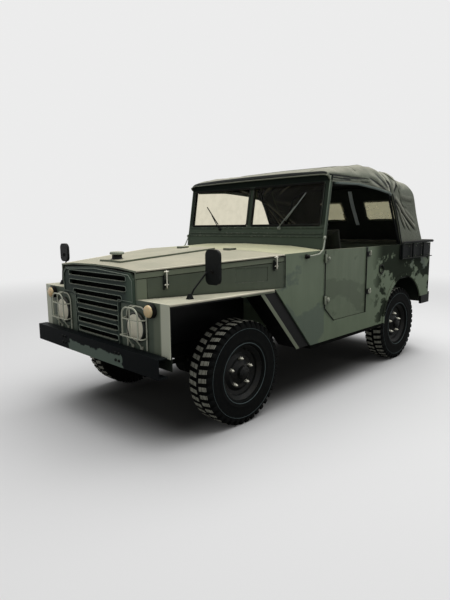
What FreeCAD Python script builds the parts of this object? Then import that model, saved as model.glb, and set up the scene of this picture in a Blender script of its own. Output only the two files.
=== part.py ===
"""Light four-wheel-drive army car with a ladder frame, live axles, an open body and a canvas top.

Millimetres, +Z up, front towards -Y, the car's left side at +X. Every function draws with y measured
from the front axle; save() then moves the piece so that the origin lies on the ground, in the middle
of the overall length. Each function returns the solids of one node.
"""
import FreeCAD, Part
import math
import os

V = FreeCAD.Vector

# ---- driving dimensions -------------------------------------------------------------------------
wheelbase = 2460.0
track = 1400.0
front_overhang = 805.0          # front axle to the face of the front bumper
rear_overhang = 676.0           # rear axle to the tip of the towing jaw
gap = 0.3                       # between pieces that only rest against each other
shut_gap = 5.0                  # round doors and lids
shaft_clearance = 0.05          # radial, between a pin or shaft and its bore

tyre_radius = 388.0
tyre_width = 200.0
tread_depth = 14.0
tread_rib = 16.0                # unbroken rib round the middle of the tread
slots_each_side = 40
slot_width = 23.0
bead_radius = 205.0
rim_width = 150.0
hub_bore = 30.0
drum_radius = 150.0

body_half = 857.0               # outside of the doors
body_rear = wheelbase + 610.0   # back face of the tub
wall = 30.0                     # doors and side walls
sheet = 12.0                    # wings, bonnet and other pressed panels
sill_z = 473.0                  # lower edge of the body side
belt_z = 1250.0                 # upper edge of doors and side walls
floor_z = 600.0                 # underside of the floor, on top of the frame
floor_thick = 20.0

rail_inner = 330.0
rail_outer = 390.0
rail_low = 500.0
rail_front = -700.0
rail_rear = body_rear - 60.0
sill_rail_low = 430.0

axle_radius = 42.0
kingpin_x = 606.0
kingpin_radius = 12.0
diff_x = 180.0
diff_radius = 118.0
diff_nose = 215.0               # length of the axle's nose, along the car

arch_y = wheelbase - 15.0
arch_z = sill_z
arch_radius = 440.0
rear_sill_z = 655.0             # lower edge of the side behind the rear wheel
well_inner = 560.0
well_top = 900.0
arch_lip_width = 38.0
arch_lip_proud = 6.0
filler_y = 1901.0
filler_z = 1022.0
filler_radius = 36.0
filler_deep = 12.0

door_front = 917.0
door_rear = 1600.0
door_low = 634.0
door_chamfer_y = 148.0
door_chamfer_z = 124.0
hinge_x = body_half + 8.0 + gap
hinge_y = door_front - 10.0
hinge_radius = 8.0

nose_y = -727.0                 # face of the grille
nose_half = 485.0               # half width of the grille panel
bonnet_nose_half = 505.0
nose_z = 1172.0                 # edge of the nose at the grille
nose_crown = 22.0
cowl_y = 370.0                  # joint between bonnet and cowl
cowl_z = 1240.0
cowl_crown = 24.0
cowl_rear = 880.0               # foot of the windscreen
cowl_rear_crown = 40.0

wing_z = 985.0                  # top of the front wings
wing_half = body_half - 5.0
wing_nose_half = body_half - 27.0       # the wings taper towards the lamps
wing_lip = 24.0
wing_rear = 265.0               # where the wing's top turns down
panel_low = 645.0               # lower edge of the lamp panels, above the bumper
lamp_x = 500.0
lamp_z = 805.0
lamp_radius = 92.0
indicator_x = 668.0
indicator_z = 932.0
indicator_radius = 42.0

bumper_half = 820.0
bumper_low = 530.0
bumper_top = 660.0
bumper_depth = 72.0
bumper_sheet = 8.0

screen_half = 850.0
screen_rake = 9.5               # degrees back from upright
screen_height = 628.0           # along the slope
screen_foot = 6.2               # lifts the leaning foot off the cowl
screen_thick = 34.0
screen_sill = 205.0             # solid panel below the glass
screen_header = 62.0
screen_side = 46.0
screen_post = 44.0
glass_thick = 6.0

gate_half = 560.0
gate_low = 665.0
bumper_end_inner = gate_half + 60.0     # rear bumper ends, either side of the tailgate
bumper_end_low = 560.0
bumper_end_top = 680.0
bumper_end_depth = 45.0

axle_z = tyre_radius
wheel_x = track / 2
rail_top = floor_z
front_axle_y = -(front_overhang + wheelbase + rear_overhang) / 2 + front_overhang


# ---- shape helpers ------------------------------------------------------------------------------
def box(x0, x1, y0, y1, z0, z1):
    return Part.makeBox(x1 - x0, y1 - y0, z1 - z0, V(x0, y0, z0))


def rod(start, end, radius):
    """A round bar between two points."""
    run = V(*end) - V(*start)
    return Part.makeCylinder(radius, run.Length, V(*start), run)


def prism(points, direction, length):
    """A flat outline of 3-D points, drawn out along a direction."""
    corners = [V(*p) for p in points]
    face = Part.Face(Part.makePolygon(corners + corners[:1]))
    return face.extrude(V(*direction) * length)


def prism_x(outline, x0, x1):
    """Outline of (y, z) points from x0 to x1."""
    return prism([(x0, y, z) for y, z in outline], (1, 0, 0), x1 - x0)


def prism_y(outline, y0, y1):
    """Outline of (x, z) points from y0 to y1."""
    return prism([(x, y0, z) for x, z in outline], (0, 1, 0), y1 - y0)


def prism_z(outline, z0, z1):
    """Outline of (x, y) points from z0 to z1."""
    return prism([(x, y, z0) for x, y in outline], (0, 0, 1), z1 - z0)


def mirror(shape):
    return shape.mirror(V(0, 0, 0), V(1, 0, 0))


def both(shape):
    """A solid and its mirror image, as two separate solids."""
    return [shape, mirror(shape)]


def fuse(shapes):
    shapes = list(shapes)
    if len(shapes) == 1:
        return shapes[0]
    return shapes[0].multiFuse(shapes[1:]).removeSplitter()


def revolve_x(outline, x=0.0, y=0.0, z=0.0):
    """Outline of (x, radius) points turned about an axis along X through (y, z)."""
    points = [V(x + dx, y, z + r) for dx, r in outline]
    face = Part.Face(Part.makePolygon(points + points[:1]))
    return face.revolve(V(x, y, z), V(1, 0, 0), 360)


def tube(points, radius, bend):
    """A round bar along straight runs joined by tangent arcs of one bend radius."""
    corners = [V(*p) for p in points]
    edges = []
    start = corners[0]
    for before, corner, after in zip(corners, corners[1:], corners[2:]):
        a = (before - corner).normalize()
        b = (after - corner).normalize()
        half = a.getAngle(b) / 2
        back = bend / math.tan(half)
        middle = corner + (a + b).normalize() * (bend / math.sin(half) - bend)
        edges.append(Part.makeLine(start, corner + a * back))
        edges.append(Part.Arc(corner + a * back, middle, corner + b * back).toShape())
        start = corner + b * back
    edges.append(Part.makeLine(start, corners[-1]))
    path = Part.Wire(edges)
    circle = Part.Wire(Part.makeCircle(radius, corners[0], corners[1] - corners[0]))
    return path.makePipeShell([circle], True, False)


def loft(sections):
    """A ruled solid through closed outlines of 3-D points with the same number of corners."""
    wires = []
    for points in sections:
        corners = [V(*p) for p in points]
        wires.append(Part.makePolygon(corners + corners[:1]))
    return Part.makeLoft(wires, True, True)


def at_y(value, y0, value0, y1, value1):
    """Straight-line value between two stations."""
    return value0 + (value - y0) * (value1 - value0) / (y1 - y0)


def side_half(y):
    """Half width of the slanted side that runs from the grille to the cowl."""
    return min(body_half, at_y(y, nose_y, bonnet_nose_half, cowl_y, body_half))


def edge_z(y):
    """Height of the bonnet's and cowl's outer edge."""
    if y < cowl_y:
        return at_y(y, nose_y, nose_z, cowl_y, cowl_z)
    return at_y(y, cowl_y, cowl_z, cowl_rear, belt_z)


def crown(y):
    """How far the middle of the bonnet or cowl stands above its edge."""
    if y < cowl_y:
        return at_y(y, nose_y, nose_crown, cowl_y, cowl_crown)
    return at_y(y, cowl_y, cowl_crown, cowl_rear, cowl_rear_crown)


def crowned_section(y, inset, thick):
    """Closed section of a crowned panel: its edge, shoulder and middle heights, and back underneath."""
    half = side_half(y) - inset
    z = edge_z(y)
    rise = crown(y)
    over = [(-half, z), (-0.62 * half, z + 0.72 * rise), (0, z + rise),
            (0.62 * half, z + 0.72 * rise), (half, z)]
    top = [(x, y, level) for x, level in over]
    under = [(x, y, level - thick) for x, level in reversed(over)]
    return top + under


# ---- frame and running gear ---------------------------------------------------------------------
cross_members = (-660.0, 380.0, 1300.0, 1900.0, wheelbase + 320.0, wheelbase + 490.0)
outriggers = (800.0, 1350.0, 1840.0)
sill_rail_inner = body_half - 87.0


def chassis_frame():
    """Two rails with horns, cross members, outriggers, side sills and the towing jaw."""
    rail = fuse([
        box(rail_inner, rail_outer, rail_front, rail_rear, rail_low, rail_top),
        box(rail_inner + 5, rail_outer - 5, -front_overhang + bumper_sheet + gap, rail_front,
            bumper_low + bumper_sheet + gap, rail_top)])
    solids = both(rail)
    reach = rail_inner - gap
    for y in cross_members:
        solids.append(box(-reach, reach, y - 30, y + 30, rail_low + 10, rail_top - 10))
    for y in outriggers:
        arm = prism_x([(y - 30, rail_low + 10), (y + 30, rail_low + 10), (y + 30, rail_top),
                       (y - 30, rail_top)], rail_outer + gap, sill_rail_inner - gap)
        slope = prism_y([(rail_outer, rail_low + 11), (sill_rail_inner, rail_low + 11),
                         (sill_rail_inner, sill_rail_low), (sill_rail_inner - 40, sill_rail_low)],
                        y - 30, y + 30)
        solids += both(fuse([arm, slope.common(box(rail_outer + gap, sill_rail_inner - gap, y - 31,
                                                   y + 31, 0, rail_top))]))
    solids += both(box(sill_rail_inner, body_half - wall - 2, outriggers[0] - 30,
                       arch_y - arch_radius, sill_rail_low, sill_z - gap))
    return solids + tow_jaw()


def front_bumper():
    back = -front_overhang + bumper_depth
    face = -front_overhang
    outline = [(face, bumper_low), (back, bumper_low), (back, bumper_low + bumper_sheet),
               (face + bumper_sheet, bumper_low + bumper_sheet),
               (face + bumper_sheet, bumper_top - bumper_sheet),
               (back, bumper_top - bumper_sheet), (back, bumper_top), (face, bumper_top)]
    return [prism_x(outline, -bumper_half, bumper_half)]


def rear_bumpers():
    """Short channels at the rear corners, each turned forward under the body's side."""
    inner, outer = bumper_end_inner, body_half - 4
    low, high = bumper_end_low, bumper_end_top
    piece = box(inner, outer, body_rear + gap, body_rear + bumper_end_depth, low, high)
    turned = box(body_half - wall + 1, outer, arch_y + arch_radius + 15, body_rear + 1, low,
                 rear_sill_z - 1)
    bracket = box(inner, inner + 40, rail_rear - 60, body_rear + 1, low + 15, floor_z - gap)
    stay = box(rail_outer + gap, inner + 40, rail_rear - 60, rail_rear, low + 15, floor_z - gap)
    return both(fuse([piece, turned, bracket, stay]))


def engine_block():
    block = box(-170, 170, -420, 300, 640, 1020)
    sump = box(-120, 120, -300, 250, 545, 640)
    bell = box(-140, 140, 300, 350 - gap, 560, 860)
    return [fuse([block, sump, bell])]


def drive_line():
    gearbox = box(-110, 110, 410 + gap, 930, 450, 590)
    transfer = box(-110, diff_x + 60, 930, 1180, 400, 590)
    pieces = [gearbox, transfer]
    for x, gear_y, nose_at, away in ((diff_x, 935, diff_nose, 1),
                                     (diff_x - 60, 1175, wheelbase - diff_nose, -1)):
        pieces.append(rod((x, gear_y, 450), (x, nose_at + away * 8, axle_z), 28))
        pieces.append(rod((x, nose_at + away * gap, axle_z), (x, nose_at + away * 14, axle_z), 44))
    return [fuse(pieces)]


def axle(steered):
    end = kingpin_x - 45 if steered else wheel_x - 60
    beam = rod((-end, 0, axle_z), (end, 0, axle_z), axle_radius)
    x = diff_x if steered else diff_x - 60
    bowl = revolve_x([(-95, 0), (-95, 60), (-55, diff_radius), (55, diff_radius), (95, 60), (95, 0)],
                     x, 0, axle_z)
    toward = 1 if steered else -1
    nose = Part.makeCone(75, 46, diff_nose - 60, V(x, toward * 60, axle_z), V(0, toward, 0))
    pieces = [beam, bowl, nose]
    for side in (-1, 1):
        pieces.append(box(side * 360 - 40, side * 360 + 40, -50, 50, axle_z, spring_seat_z))
    if steered:
        for side in (-1, 1):
            pieces += yoke(side)
    else:
        for side in (-1, 1):
            plate = rod((side * end, 0, axle_z), (side * (wheel_x - 45), 0, axle_z), drum_radius - 6)
            stub = rod((side * end, 0, axle_z), (side * (wheel_x + 30), 0, axle_z),
                       hub_bore - shaft_clearance)
            pieces += [plate, stub]
    solid = fuse(pieces)
    if not steered:
        solid.translate(V(0, wheelbase, 0))
    return [solid]


spring_seat_z = axle_z + 52.0
knuckle_half = 58.0             # half height of the knuckle's barrel
yoke_half = 92.0


def yoke(side):
    """Forked axle end with a pin above and below the knuckle."""
    inner = kingpin_x - 70
    web = box(inner, kingpin_x - 42, -34, 34, axle_z - yoke_half, axle_z + yoke_half)
    parts = [web]
    for up in (-1, 1):
        low, high = sorted((axle_z + up * (knuckle_half + 6), axle_z + up * yoke_half))
        parts.append(box(inner, kingpin_x, -34, 34, low, high))
        parts.append(Part.makeCylinder(34, high - low, V(kingpin_x, 0, low)))
        tip = axle_z + up * (knuckle_half - 24)
        parts.append(rod((kingpin_x, 0, tip), (kingpin_x, 0, (low + high) / 2), kingpin_radius))
    solid = fuse(parts)
    return [solid if side > 0 else mirror(solid)]


arm_x = kingpin_x
arm_y = 160.0
arm_z = 318.0
ball_radius = 13.0


def knuckle(side):
    """Barrel on the king pins, backing plate, stub axle and steering arm."""
    barrel = Part.makeCylinder(32, 2 * knuckle_half, V(kingpin_x, 0, axle_z - knuckle_half))
    neck = rod((kingpin_x, 0, axle_z), (wheel_x - 50, 0, axle_z), 46)
    plate = rod((wheel_x - 52, 0, axle_z), (wheel_x - 45, 0, axle_z), drum_radius - 6)
    stub = rod((wheel_x - 50, 0, axle_z), (wheel_x + 30, 0, axle_z), hub_bore - shaft_clearance)
    arm = prism_x([(0, arm_z + 14), (0, arm_z + 44), (30, arm_z + 44),
                   (arm_y + 20, arm_z + 30), (arm_y + 20, arm_z + 16)], arm_x - 11, arm_x + 11)
    solid = fuse([barrel, neck, plate, stub, arm])
    bore = kingpin_radius + shaft_clearance
    for up in (-1, 1):
        top = axle_z + up * (knuckle_half + 1)
        solid = solid.cut(rod((kingpin_x, 0, axle_z + up * (knuckle_half - 26)),
                              (kingpin_x, 0, top), bore))
    eye = rod((arm_x, arm_y, arm_z), (arm_x, arm_y, arm_z + 50), 6 + shaft_clearance)
    solid = solid.cut(eye)
    return [solid if side > 0 else mirror(solid)]


def tie_rod():
    """Track rod under the steering arms, its pins upright in the arms' eyes."""
    reach = arm_x
    bar = rod((-reach, arm_y, arm_z - 8), (reach, arm_y, arm_z - 8), 12)
    pieces = [bar]
    for side in (-1, 1):
        pieces.append(Part.makeCylinder(15, 22, V(side * reach, arm_y, arm_z - 19)))
    pieces.append(rod((reach, arm_y, arm_z), (reach, arm_y, arm_z + 34), 6))
    open_pin = 6 - 0.6
    pieces.append(rod((-reach, arm_y, arm_z), (-reach, arm_y, arm_z + 34), open_pin))
    return [fuse(pieces)]


def springs():
    """Four packs of leaves on the axles, each with hangers up to the frame."""
    solids = []
    leaves = ((470, 3), (360, 2), (250, 1))       # half length, place in the pack from below
    thick = 9.0
    base = spring_seat_z + gap
    for axle_y in (0.0, wheelbase):
        pack = []
        for half, place in leaves:
            z = base + (place - 1) * thick
            pack.append(box(rail_inner + 4, rail_outer - 4, axle_y - half, axle_y + half, z, z + thick))
        top = base + 3 * thick
        for end in (-1, 1):
            y = axle_y + end * (470 - 22)
            pack.append(box(rail_inner + 10, rail_outer - 10, y - 20, y + 20, top, rail_low - gap))
        clamp = box(rail_inner + 2, rail_outer - 2, axle_y - 45, axle_y + 45, base, top + 10)
        solids += both(fuse(pack + [clamp]))
    return solids


def dampers():
    """Upright telescopic dampers beside the springs."""
    solids = []
    for axle_y, lean in ((0.0, -1), (wheelbase, -1)):
        foot = (rail_outer + 26, axle_y + lean * 70, axle_z + 10)
        head = (rail_outer + 22, axle_y + lean * 110, rail_top - 30)
        body = rod(foot, head, 20)
        lug = box(rail_outer + gap, rail_outer + 20, head[1] - 18, head[1] + 18,
                  rail_top - 55, rail_top - 20)
        arm = box(rail_outer + 12, rail_outer + 40, axle_y + lean * 88, axle_y - lean * 0,
                  axle_z - 12, axle_z + 14)
        trim = rod((rail_inner, axle_y, axle_z), (rail_outer + 60, axle_y, axle_z),
                   axle_radius + gap)
        solids += both(fuse([body, lug, arm]).cut(trim))
    return solids


def wheel_at(side, y, solid):
    """Puts a wheel drawn for the left front place on its own hub."""
    placed = solid if side > 0 else mirror(solid)
    placed.translate(V(0, y, 0))
    return [placed]


def tyre_solid():
    """Carcass with slots cut in from both shoulders, which leave staggered lugs and a middle rib."""
    half = tyre_width / 2
    outline = [(-half + 22, bead_radius), (-half, bead_radius + 62), (-half + 3, tyre_radius - 40),
               (-half + 17, tyre_radius), (half - 17, tyre_radius), (half - 3, tyre_radius - 40),
               (half, bead_radius + 62), (half - 22, bead_radius)]
    carcass = revolve_x(outline, wheel_x, 0, axle_z)
    pitch = 360.0 / slots_each_side
    slots = []
    for side in (-1, 1):
        low, high = sorted((side * tread_rib / 2, side * (half + 1)))
        for place in range(slots_each_side):
            slot = box(wheel_x + low, wheel_x + high, -slot_width / 2, slot_width / 2,
                       axle_z + tyre_radius - tread_depth, axle_z + tyre_radius + 5)
            turn = pitch * (place + (0.25 if side > 0 else -0.25))
            slot.rotate(V(wheel_x, 0, axle_z), V(1, 0, 0), turn)
            slots.append(slot)
    return carcass.cut(slots)


def rim_solid():
    """Pressed disc wheel with its brake drum and hub."""
    half = rim_width / 2
    seat = bead_radius - gap
    outline = [(-half, seat - 3), (-half, seat), (half, seat), (half, seat - 3), (half - 6, seat - 10),
               (half - 24, seat - 30), (half - 40, seat - 34), (half - 48, seat - 60),
               (half - 30, 118), (half - 34, 92), (half - 30, 88), (half - 12, 54), (half + 14, 50),
               (half + 18, 42), (half + 18, 0), (30 + 2, 0), (30 + 2, hub_bore),
               (-45 + shut_gap, hub_bore), (-45 + shut_gap, drum_radius), (half - 62, drum_radius),
               (half - 56, seat - 34), (-half + 24, seat - 30)]
    return revolve_x(outline, wheel_x, 0, axle_z)


steering_base = (368.0, 60.0, 650.0)
steering_hub = (368.0, 1085.0, 1200.0)
steering_radius = 205.0
boss_depth = 12.0


def steering_column():
    base = steering_base
    top = steering_hub
    run = V(*top) - V(*base)
    end = V(*base) + run * (1 - (boss_depth + gap) / run.Length)
    column = rod(base, tuple(end), 19)
    gear = box(rail_inner + 2, rail_outer, 0, 120, rail_top + gap, 690)
    return [fuse([column, gear])]


def column_direction():
    return (V(*steering_hub) - V(*steering_base)).normalize()


def steering_wheel():
    hub = V(*steering_hub)
    axis = column_direction()
    ring = Part.makeTorus(steering_radius, 13, hub, axis)
    boss = Part.makeCylinder(30, boss_depth + 24, hub - axis * boss_depth, axis)
    across = V(1, 0, 0)
    solids = [ring, boss]
    for turn in (90, 210, 330):
        spoke = V(across)
        spoke = FreeCAD.Rotation(axis, turn).multVec(spoke)
        solids.append(Part.makeCylinder(8, steering_radius, hub + axis * 4, spoke))
    return [fuse(solids)]


def fuel_tank():
    return [box(-300, 300, wheelbase + 180, wheelbase + 440, 400, rail_low + 10 - gap)]


def exhaust():
    pipe = tube([(-170 - gap, -60, 720), (-250, -60, 720), (-250, 80, 470), (-250, 700, 430),
                 (-250, 1450, 430)], 22, 40)
    muffler = rod((-250, 1400, 430), (-250, 1850, 430), 62)
    tail = tube([(-250, 1800, 430), (-250, 1935, 430), (-560, 1935, 430)], 22, 60)
    return [fuse([pipe, muffler, tail])]


tow_radius = 16.0
tow_wall = 12.0
tow_top = 597.0
tow_low = 497.0
tow_plate = 22.0
tow_y = wheelbase + rear_overhang - tow_wall - tow_radius


def tow_jaw():
    """Forked towing jaw on the rear cross member, with a bore for the drawbar pin."""
    front = rail_rear - 30 + gap
    end = tow_y + tow_radius + tow_wall
    plate = box(-70, 70, cross_members[-1] + 30 + gap, front + 22, tow_low, tow_top)
    upper = box(-34, 34, front + 20, end, tow_top - tow_plate, tow_top)
    lower = box(-34, 34, front + 20, end, tow_low, tow_low + tow_plate)
    solid = fuse([plate, upper, lower])
    return [solid.cut(rod((0, tow_y, tow_low - 10), (0, tow_y, tow_top + 10), tow_radius))]


# ---- body ---------------------------------------------------------------------------------------
def body_side():
    """Left side wall behind the cowl, with the door opening and the wheel arch."""
    slab = box(body_half - wall, body_half, door_front, body_rear, sill_z, belt_z)
    rear_cut = box(body_half - wall - 1, body_half + 1, arch_y, body_rear + 1, sill_z - 1, rear_sill_z)
    arch = rod((body_half - wall - 1, arch_y, arch_z), (body_half + 1, arch_y, arch_z), arch_radius)
    opening = prism_x(door_outline(0), body_half - wall - 1, body_half + 1)
    return fuse([slab.cut(rear_cut).cut(arch).cut(opening), arch_lip()])


def arch_lip():
    """Raised rim round the rear wheel's opening."""
    start, end = (body_half - 1, arch_y, arch_z), (body_half + arch_lip_proud, arch_y, arch_z)
    ring = rod(start, end, arch_radius + arch_lip_width)
    ring = ring.cut(rod((body_half - 2, arch_y, arch_z), (body_half + 20, arch_y, arch_z), arch_radius))
    reach = arch_radius + arch_lip_width + 1
    front = box(body_half - 2, body_half + 20, arch_y - reach, arch_y, sill_z, arch_z + reach)
    rear = box(body_half - 2, body_half + 20, arch_y - 1, arch_y + reach, rear_sill_z, arch_z + reach)
    return ring.common(fuse([front, rear]))


def filler_pocket():
    """Round recess for the fuel cap, with the cap in it, on the left side only."""
    y, z = filler_y, filler_z
    hole = rod((body_half - filler_deep, y, z), (body_half + 1, y, z), filler_radius)
    cap = rod((body_half - filler_deep - 1, y, z), (body_half - 3, y, z), filler_radius - 9)
    return hole, cap


def door_outline(inset):
    """Door shape in (y, z): square but for the cut lower front corner."""
    y0, y1 = door_front + inset, door_rear - inset
    z0, z1 = door_low + inset, belt_z + (1 if inset == 0 else 0)
    slant = inset * 0.45
    return [(y0, z1), (y0, door_low + door_chamfer_z + slant), (door_front + door_chamfer_y + slant, z0),
            (y1, z0), (y1, z1)]


def body_sides():
    """Side walls with the rear corner panels."""
    corner = box(gate_half + shut_gap, body_half, body_rear - wall, body_rear, rear_sill_z, belt_z)
    right, left = mirror(fuse([body_side(), corner])), fuse([body_side(), corner])
    hole, cap = filler_pocket()
    return [fuse([left.cut(hole), cap]), right]


def body_floor():
    """Floor, sill below the tailgate, wheel boxes and the boxes under the front seats."""
    half = body_half - wall - gap
    back = body_rear - wall - gap
    floor = box(-half, half, cowl_y + 30, back, floor_z, floor_z + floor_thick)
    notch = box(leg_inner - 10, half + 1, cowl_y, 500, floor_z - 1, floor_z + floor_thick + 1)
    well = box(well_inner, half + 1, arch_y - arch_radius - 12, arch_y + arch_radius + 12,
               floor_z - 1, floor_z + floor_thick + 1)
    floor = floor.cut(fuse(both(notch) + both(well)))
    front, rear = arch_y - arch_radius - 12 + gap, arch_y + arch_radius + 12 - gap
    nook = box(well_inner + gap, half, front, rear, floor_z, well_top)
    hollow = box(well_inner + 15, half + 1, front + 14, rear - 14, floor_z - 1, well_top - 15)
    sill = box(-gate_half, gate_half, body_rear - wall, body_rear, floor_z, gate_low - shut_gap)
    return [floor, sill] + both(nook.cut(hollow)) + seat_boxes()


def diagonal(y_top):
    """Line along which the wing's leg and the cowl's front edge run down to the sill: (y, z) pair."""
    drop = wing_z - sill_z
    return (y_top, wing_z), (y_top + drop * 0.9, sill_z)


leg_inner = 640.0


def cowl():
    """Cowl top, its sides down to the sill with the slanted front edge, the bulkhead and the dash."""
    top = loft([crowned_section(cowl_y, 0, sheet), crowned_section(cowl_rear, 0, sheet)])
    tail = box(-body_half, body_half, cowl_rear - 1, door_front - gap, belt_z - sheet, belt_z)
    (y0, z0), (y1, z1) = diagonal(wing_rear)
    back = door_front - gap
    side = prism_x([(y0, z0), (cowl_y, z0), (cowl_y, cowl_z - 4), (back, belt_z - 2), (back, z1),
                    (y1, z1)], body_half - wall, body_half)
    half = body_half - wall + 1
    y = cowl_y + 30
    low = floor_z + floor_thick + gap
    bulkhead = prism_y([(-leg_inner + 10, low), (leg_inner - 10, low), (leg_inner - 10, 720), (half, 720),
                        (half, cowl_z - 4), (0, cowl_z + 20), (-half, cowl_z - 4), (-half, 720),
                        (-leg_inner + 10, 720)], y, y + 20)
    dash = box(-body_half + wall, body_half - wall, 800, 850, 1060, belt_z - sheet)
    hole = rod(steering_base, steering_hub, 26)
    return [fuse([top, tail, side, mirror(side), bulkhead, dash]).cut(hole)]


bonnet_lip = 52.0
raised_half = 140.0
raised_front = -600.0
raised_step = 11.0
nose_seam_y = -655.0            # joint between the nose and the bonnet's fixed sides
recess_depth = 4.0
bonnet_hinge_x = 300.0
bonnet_hinge_y = cowl_y + 12.0
bonnet_hinge_z = cowl_z + 0.85 * cowl_crown + 8.0      # barrels just clear of the cowl's top


def bonnet():
    """Crowned lid with side lips, a raised middle panel, the filler cap and two hinge straps."""
    y0, y1 = nose_y + 2, cowl_y - shut_gap
    lid = loft([crowned_section(y0, 0, sheet), crowned_section(y1, 0, sheet)])
    lip = loft([lip_section(y0), lip_section(y1)])
    raised = []
    for y in (raised_front, cowl_y - 35):
        z = edge_z(y) + crown(y)
        half, step = raised_half, raised_step
        raised.append([(-half, y, z - sheet), (-half, y, z + step), (0, y, z + step + 3),
                       (half, y, z + step), (half, y, z - sheet), (0, y, z - sheet + 3)])
    pieces = [lid, lip, mirror(lip), loft(raised)] + filler_cap()
    for x in (-bonnet_hinge_x, bonnet_hinge_x):
        y, z = bonnet_hinge_y, bonnet_hinge_z
        pieces.append(rod((x - 40, y, z), (x + 40, y, z), 7))
        pieces.append(box(x - 38, x + 38, y - 70, y, z - 1, z + 6))
        pieces.append(box(x - 38, x + 38, y - 70, y - 24, z - 16, z + 2))
    return [fuse(pieces)]


def lip_section(y):
    half = side_half(y)
    z = edge_z(y)
    return [(half - sheet, y, z - bonnet_lip), (half, y, z - bonnet_lip), (half, y, z - 1),
            (half - sheet, y, z - 1)]


def bonnet_sides():
    """Upright fixed sides of the engine bay, with a long shallow recess, below the bonnet's lips."""
    y0, y1 = nose_seam_y + 3, cowl_y - gap
    a, b = cowl_y - 398, cowl_y - 139
    deep = 2 + recess_depth
    recess = prism_z([(side_half(a) - deep, a), (side_half(a) + 5, a), (side_half(b) + 5, b),
                      (side_half(b) - deep, b)], wing_z + 63, wing_z + 168)
    return both(fixed_side([(side_half(y) - 2, y) for y in (y0, y1)]
                           + [(side_half(y) - 16, y) for y in (y1, y0)]).cut(recess))


def fixed_side(outline):
    """Upright sheet from the wing's top to just below the bonnet's lip."""
    y0, y1 = nose_y - 10, cowl_y + 10
    over = prism_x([(y, edge_z(y) - bonnet_lip - shut_gap) for y in (y0, y1)]
                   + [(y1, cowl_z + 50), (y0, cowl_z + 50)], 400, 900)
    return prism_z(outline, wing_z + gap, cowl_z).cut(over)


def nose_return():
    """Left side of the nose, from the grille back to the joint with the fixed sides."""
    y0, y1 = nose_y + 8, nose_seam_y
    outline = [(nose_half - 14, y0), (side_half(y0) - 2, y0), (side_half(y1) - 2, y1),
               (side_half(y1) - 16, y1)]
    return fixed_side(outline)


def front_wings():
    """Flat wings with a turned-down lip, inner panels, lamp panels and a leg behind the wheel."""
    (y0, z0), (y1, z1) = diagonal(wing_rear - 135)
    front = nose_y + 14
    inner = rail_outer + 8
    tucked = body_half - wall - gap
    back = cowl_y + 30 - gap
    end = wing_rear - gap
    behind, beside = nose_y + 22, nose_half + 3
    top = prism_z([(inner, behind), (beside, behind), (beside, front), (wing_nose_half, front),
                   (wing_half, end), (tucked, end), (tucked, back), (inner, back)],
                  wing_z - sheet, wing_z)
    lip = prism_z([(wing_nose_half - sheet, front), (wing_nose_half, front), (wing_half, end),
                   (wing_half - sheet, end)], wing_z - wing_lip, wing_z)
    leg = prism_x([(y0, z0), (y1, z1), (y1 - 14, z1), (y0 - 14, z0)], leg_inner, wing_half - 8)
    flange = prism_x([(y0, z0), (y1, z1), (y1 - 42, z1), (y0 - 42, z0)], wing_half - 20, wing_half - 6)
    (y2, z2), (y3, z3) = diagonal(wing_rear - gap)
    closing = prism_x([(y0 - 20, z0), (y2, z2), (y3, z3), (y1 - 20, z1)], wing_half - 23, wing_half - 9)
    skirt = box(inner, inner + 8, nose_y + 100, back, rail_top + 5, wing_z - 1)
    return both(fuse([top, lip, leg, flange, closing, skirt, lamp_panel()]))


slot_pitch = 70.0
slot_height = 37.0
slot_rows = (
    # row from the top, half length
    (0, 392.0), (1, 392.0), (2, 335.0), (3, 286.0), (4, 284.0), (5, 281.0), (6, 278.0), (7, 275.0),
)
grille_low = 588.0
narrow_half = 310.0             # half width of the grille between the lamps
bead_inset = 12.0
bead_width = 8.0
bead_proud = 5.0


def grille():
    """T-shaped nose panel with eight slots, wide above and narrow between the lamps."""
    panel = prism_y(grille_outline(0), nose_y, nose_y + 20)
    bead = prism_y(grille_outline(bead_inset), nose_y - bead_proud, nose_y + 1)
    inside = prism_y(grille_outline(bead_inset + bead_width), nose_y - bead_proud - 1, nose_y + 2)
    panel = fuse([panel, bead.cut(inside)])
    first = nose_z - 58
    cuts = []
    lips = []
    for row, half in slot_rows:
        z = first - row * slot_pitch
        cuts.append(slot(half, z))
        lips.append(box(-half + 12, half - 12, nose_y - 12, nose_y + 2,
                        z - slot_height / 2 - 7, z - slot_height / 2))
    panel = panel.cut(fuse(cuts))
    return [fuse([panel] + lips + both(nose_return()))]


def grille_outline(inset):
    """The nose panel's T shape in (x, z), drawn in by an inset."""
    top = nose_z - sheet - shut_gap - inset
    half = nose_half - inset
    shoulder = wing_z - 35 + inset
    narrow = narrow_half - inset
    low = grille_low + inset
    return [(-half, shoulder), (-half, top - 40), (-half + 40, top), (0, top + nose_crown),
            (half - 40, top), (half, top - 40), (half, shoulder), (narrow, shoulder), (narrow, low),
            (-narrow, low), (-narrow, shoulder)]


def slot(half, z):
    """One round-ended slot through the panel."""
    r = slot_height / 2
    bar = box(-half + r, half - r, nose_y - 1, nose_y + 21, z - r, z + r)
    ends = [rod((x, nose_y - 1, z), (x, nose_y + 21, z), r) for x in (-half + r, half - r)]
    return fuse([bar] + ends)


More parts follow.
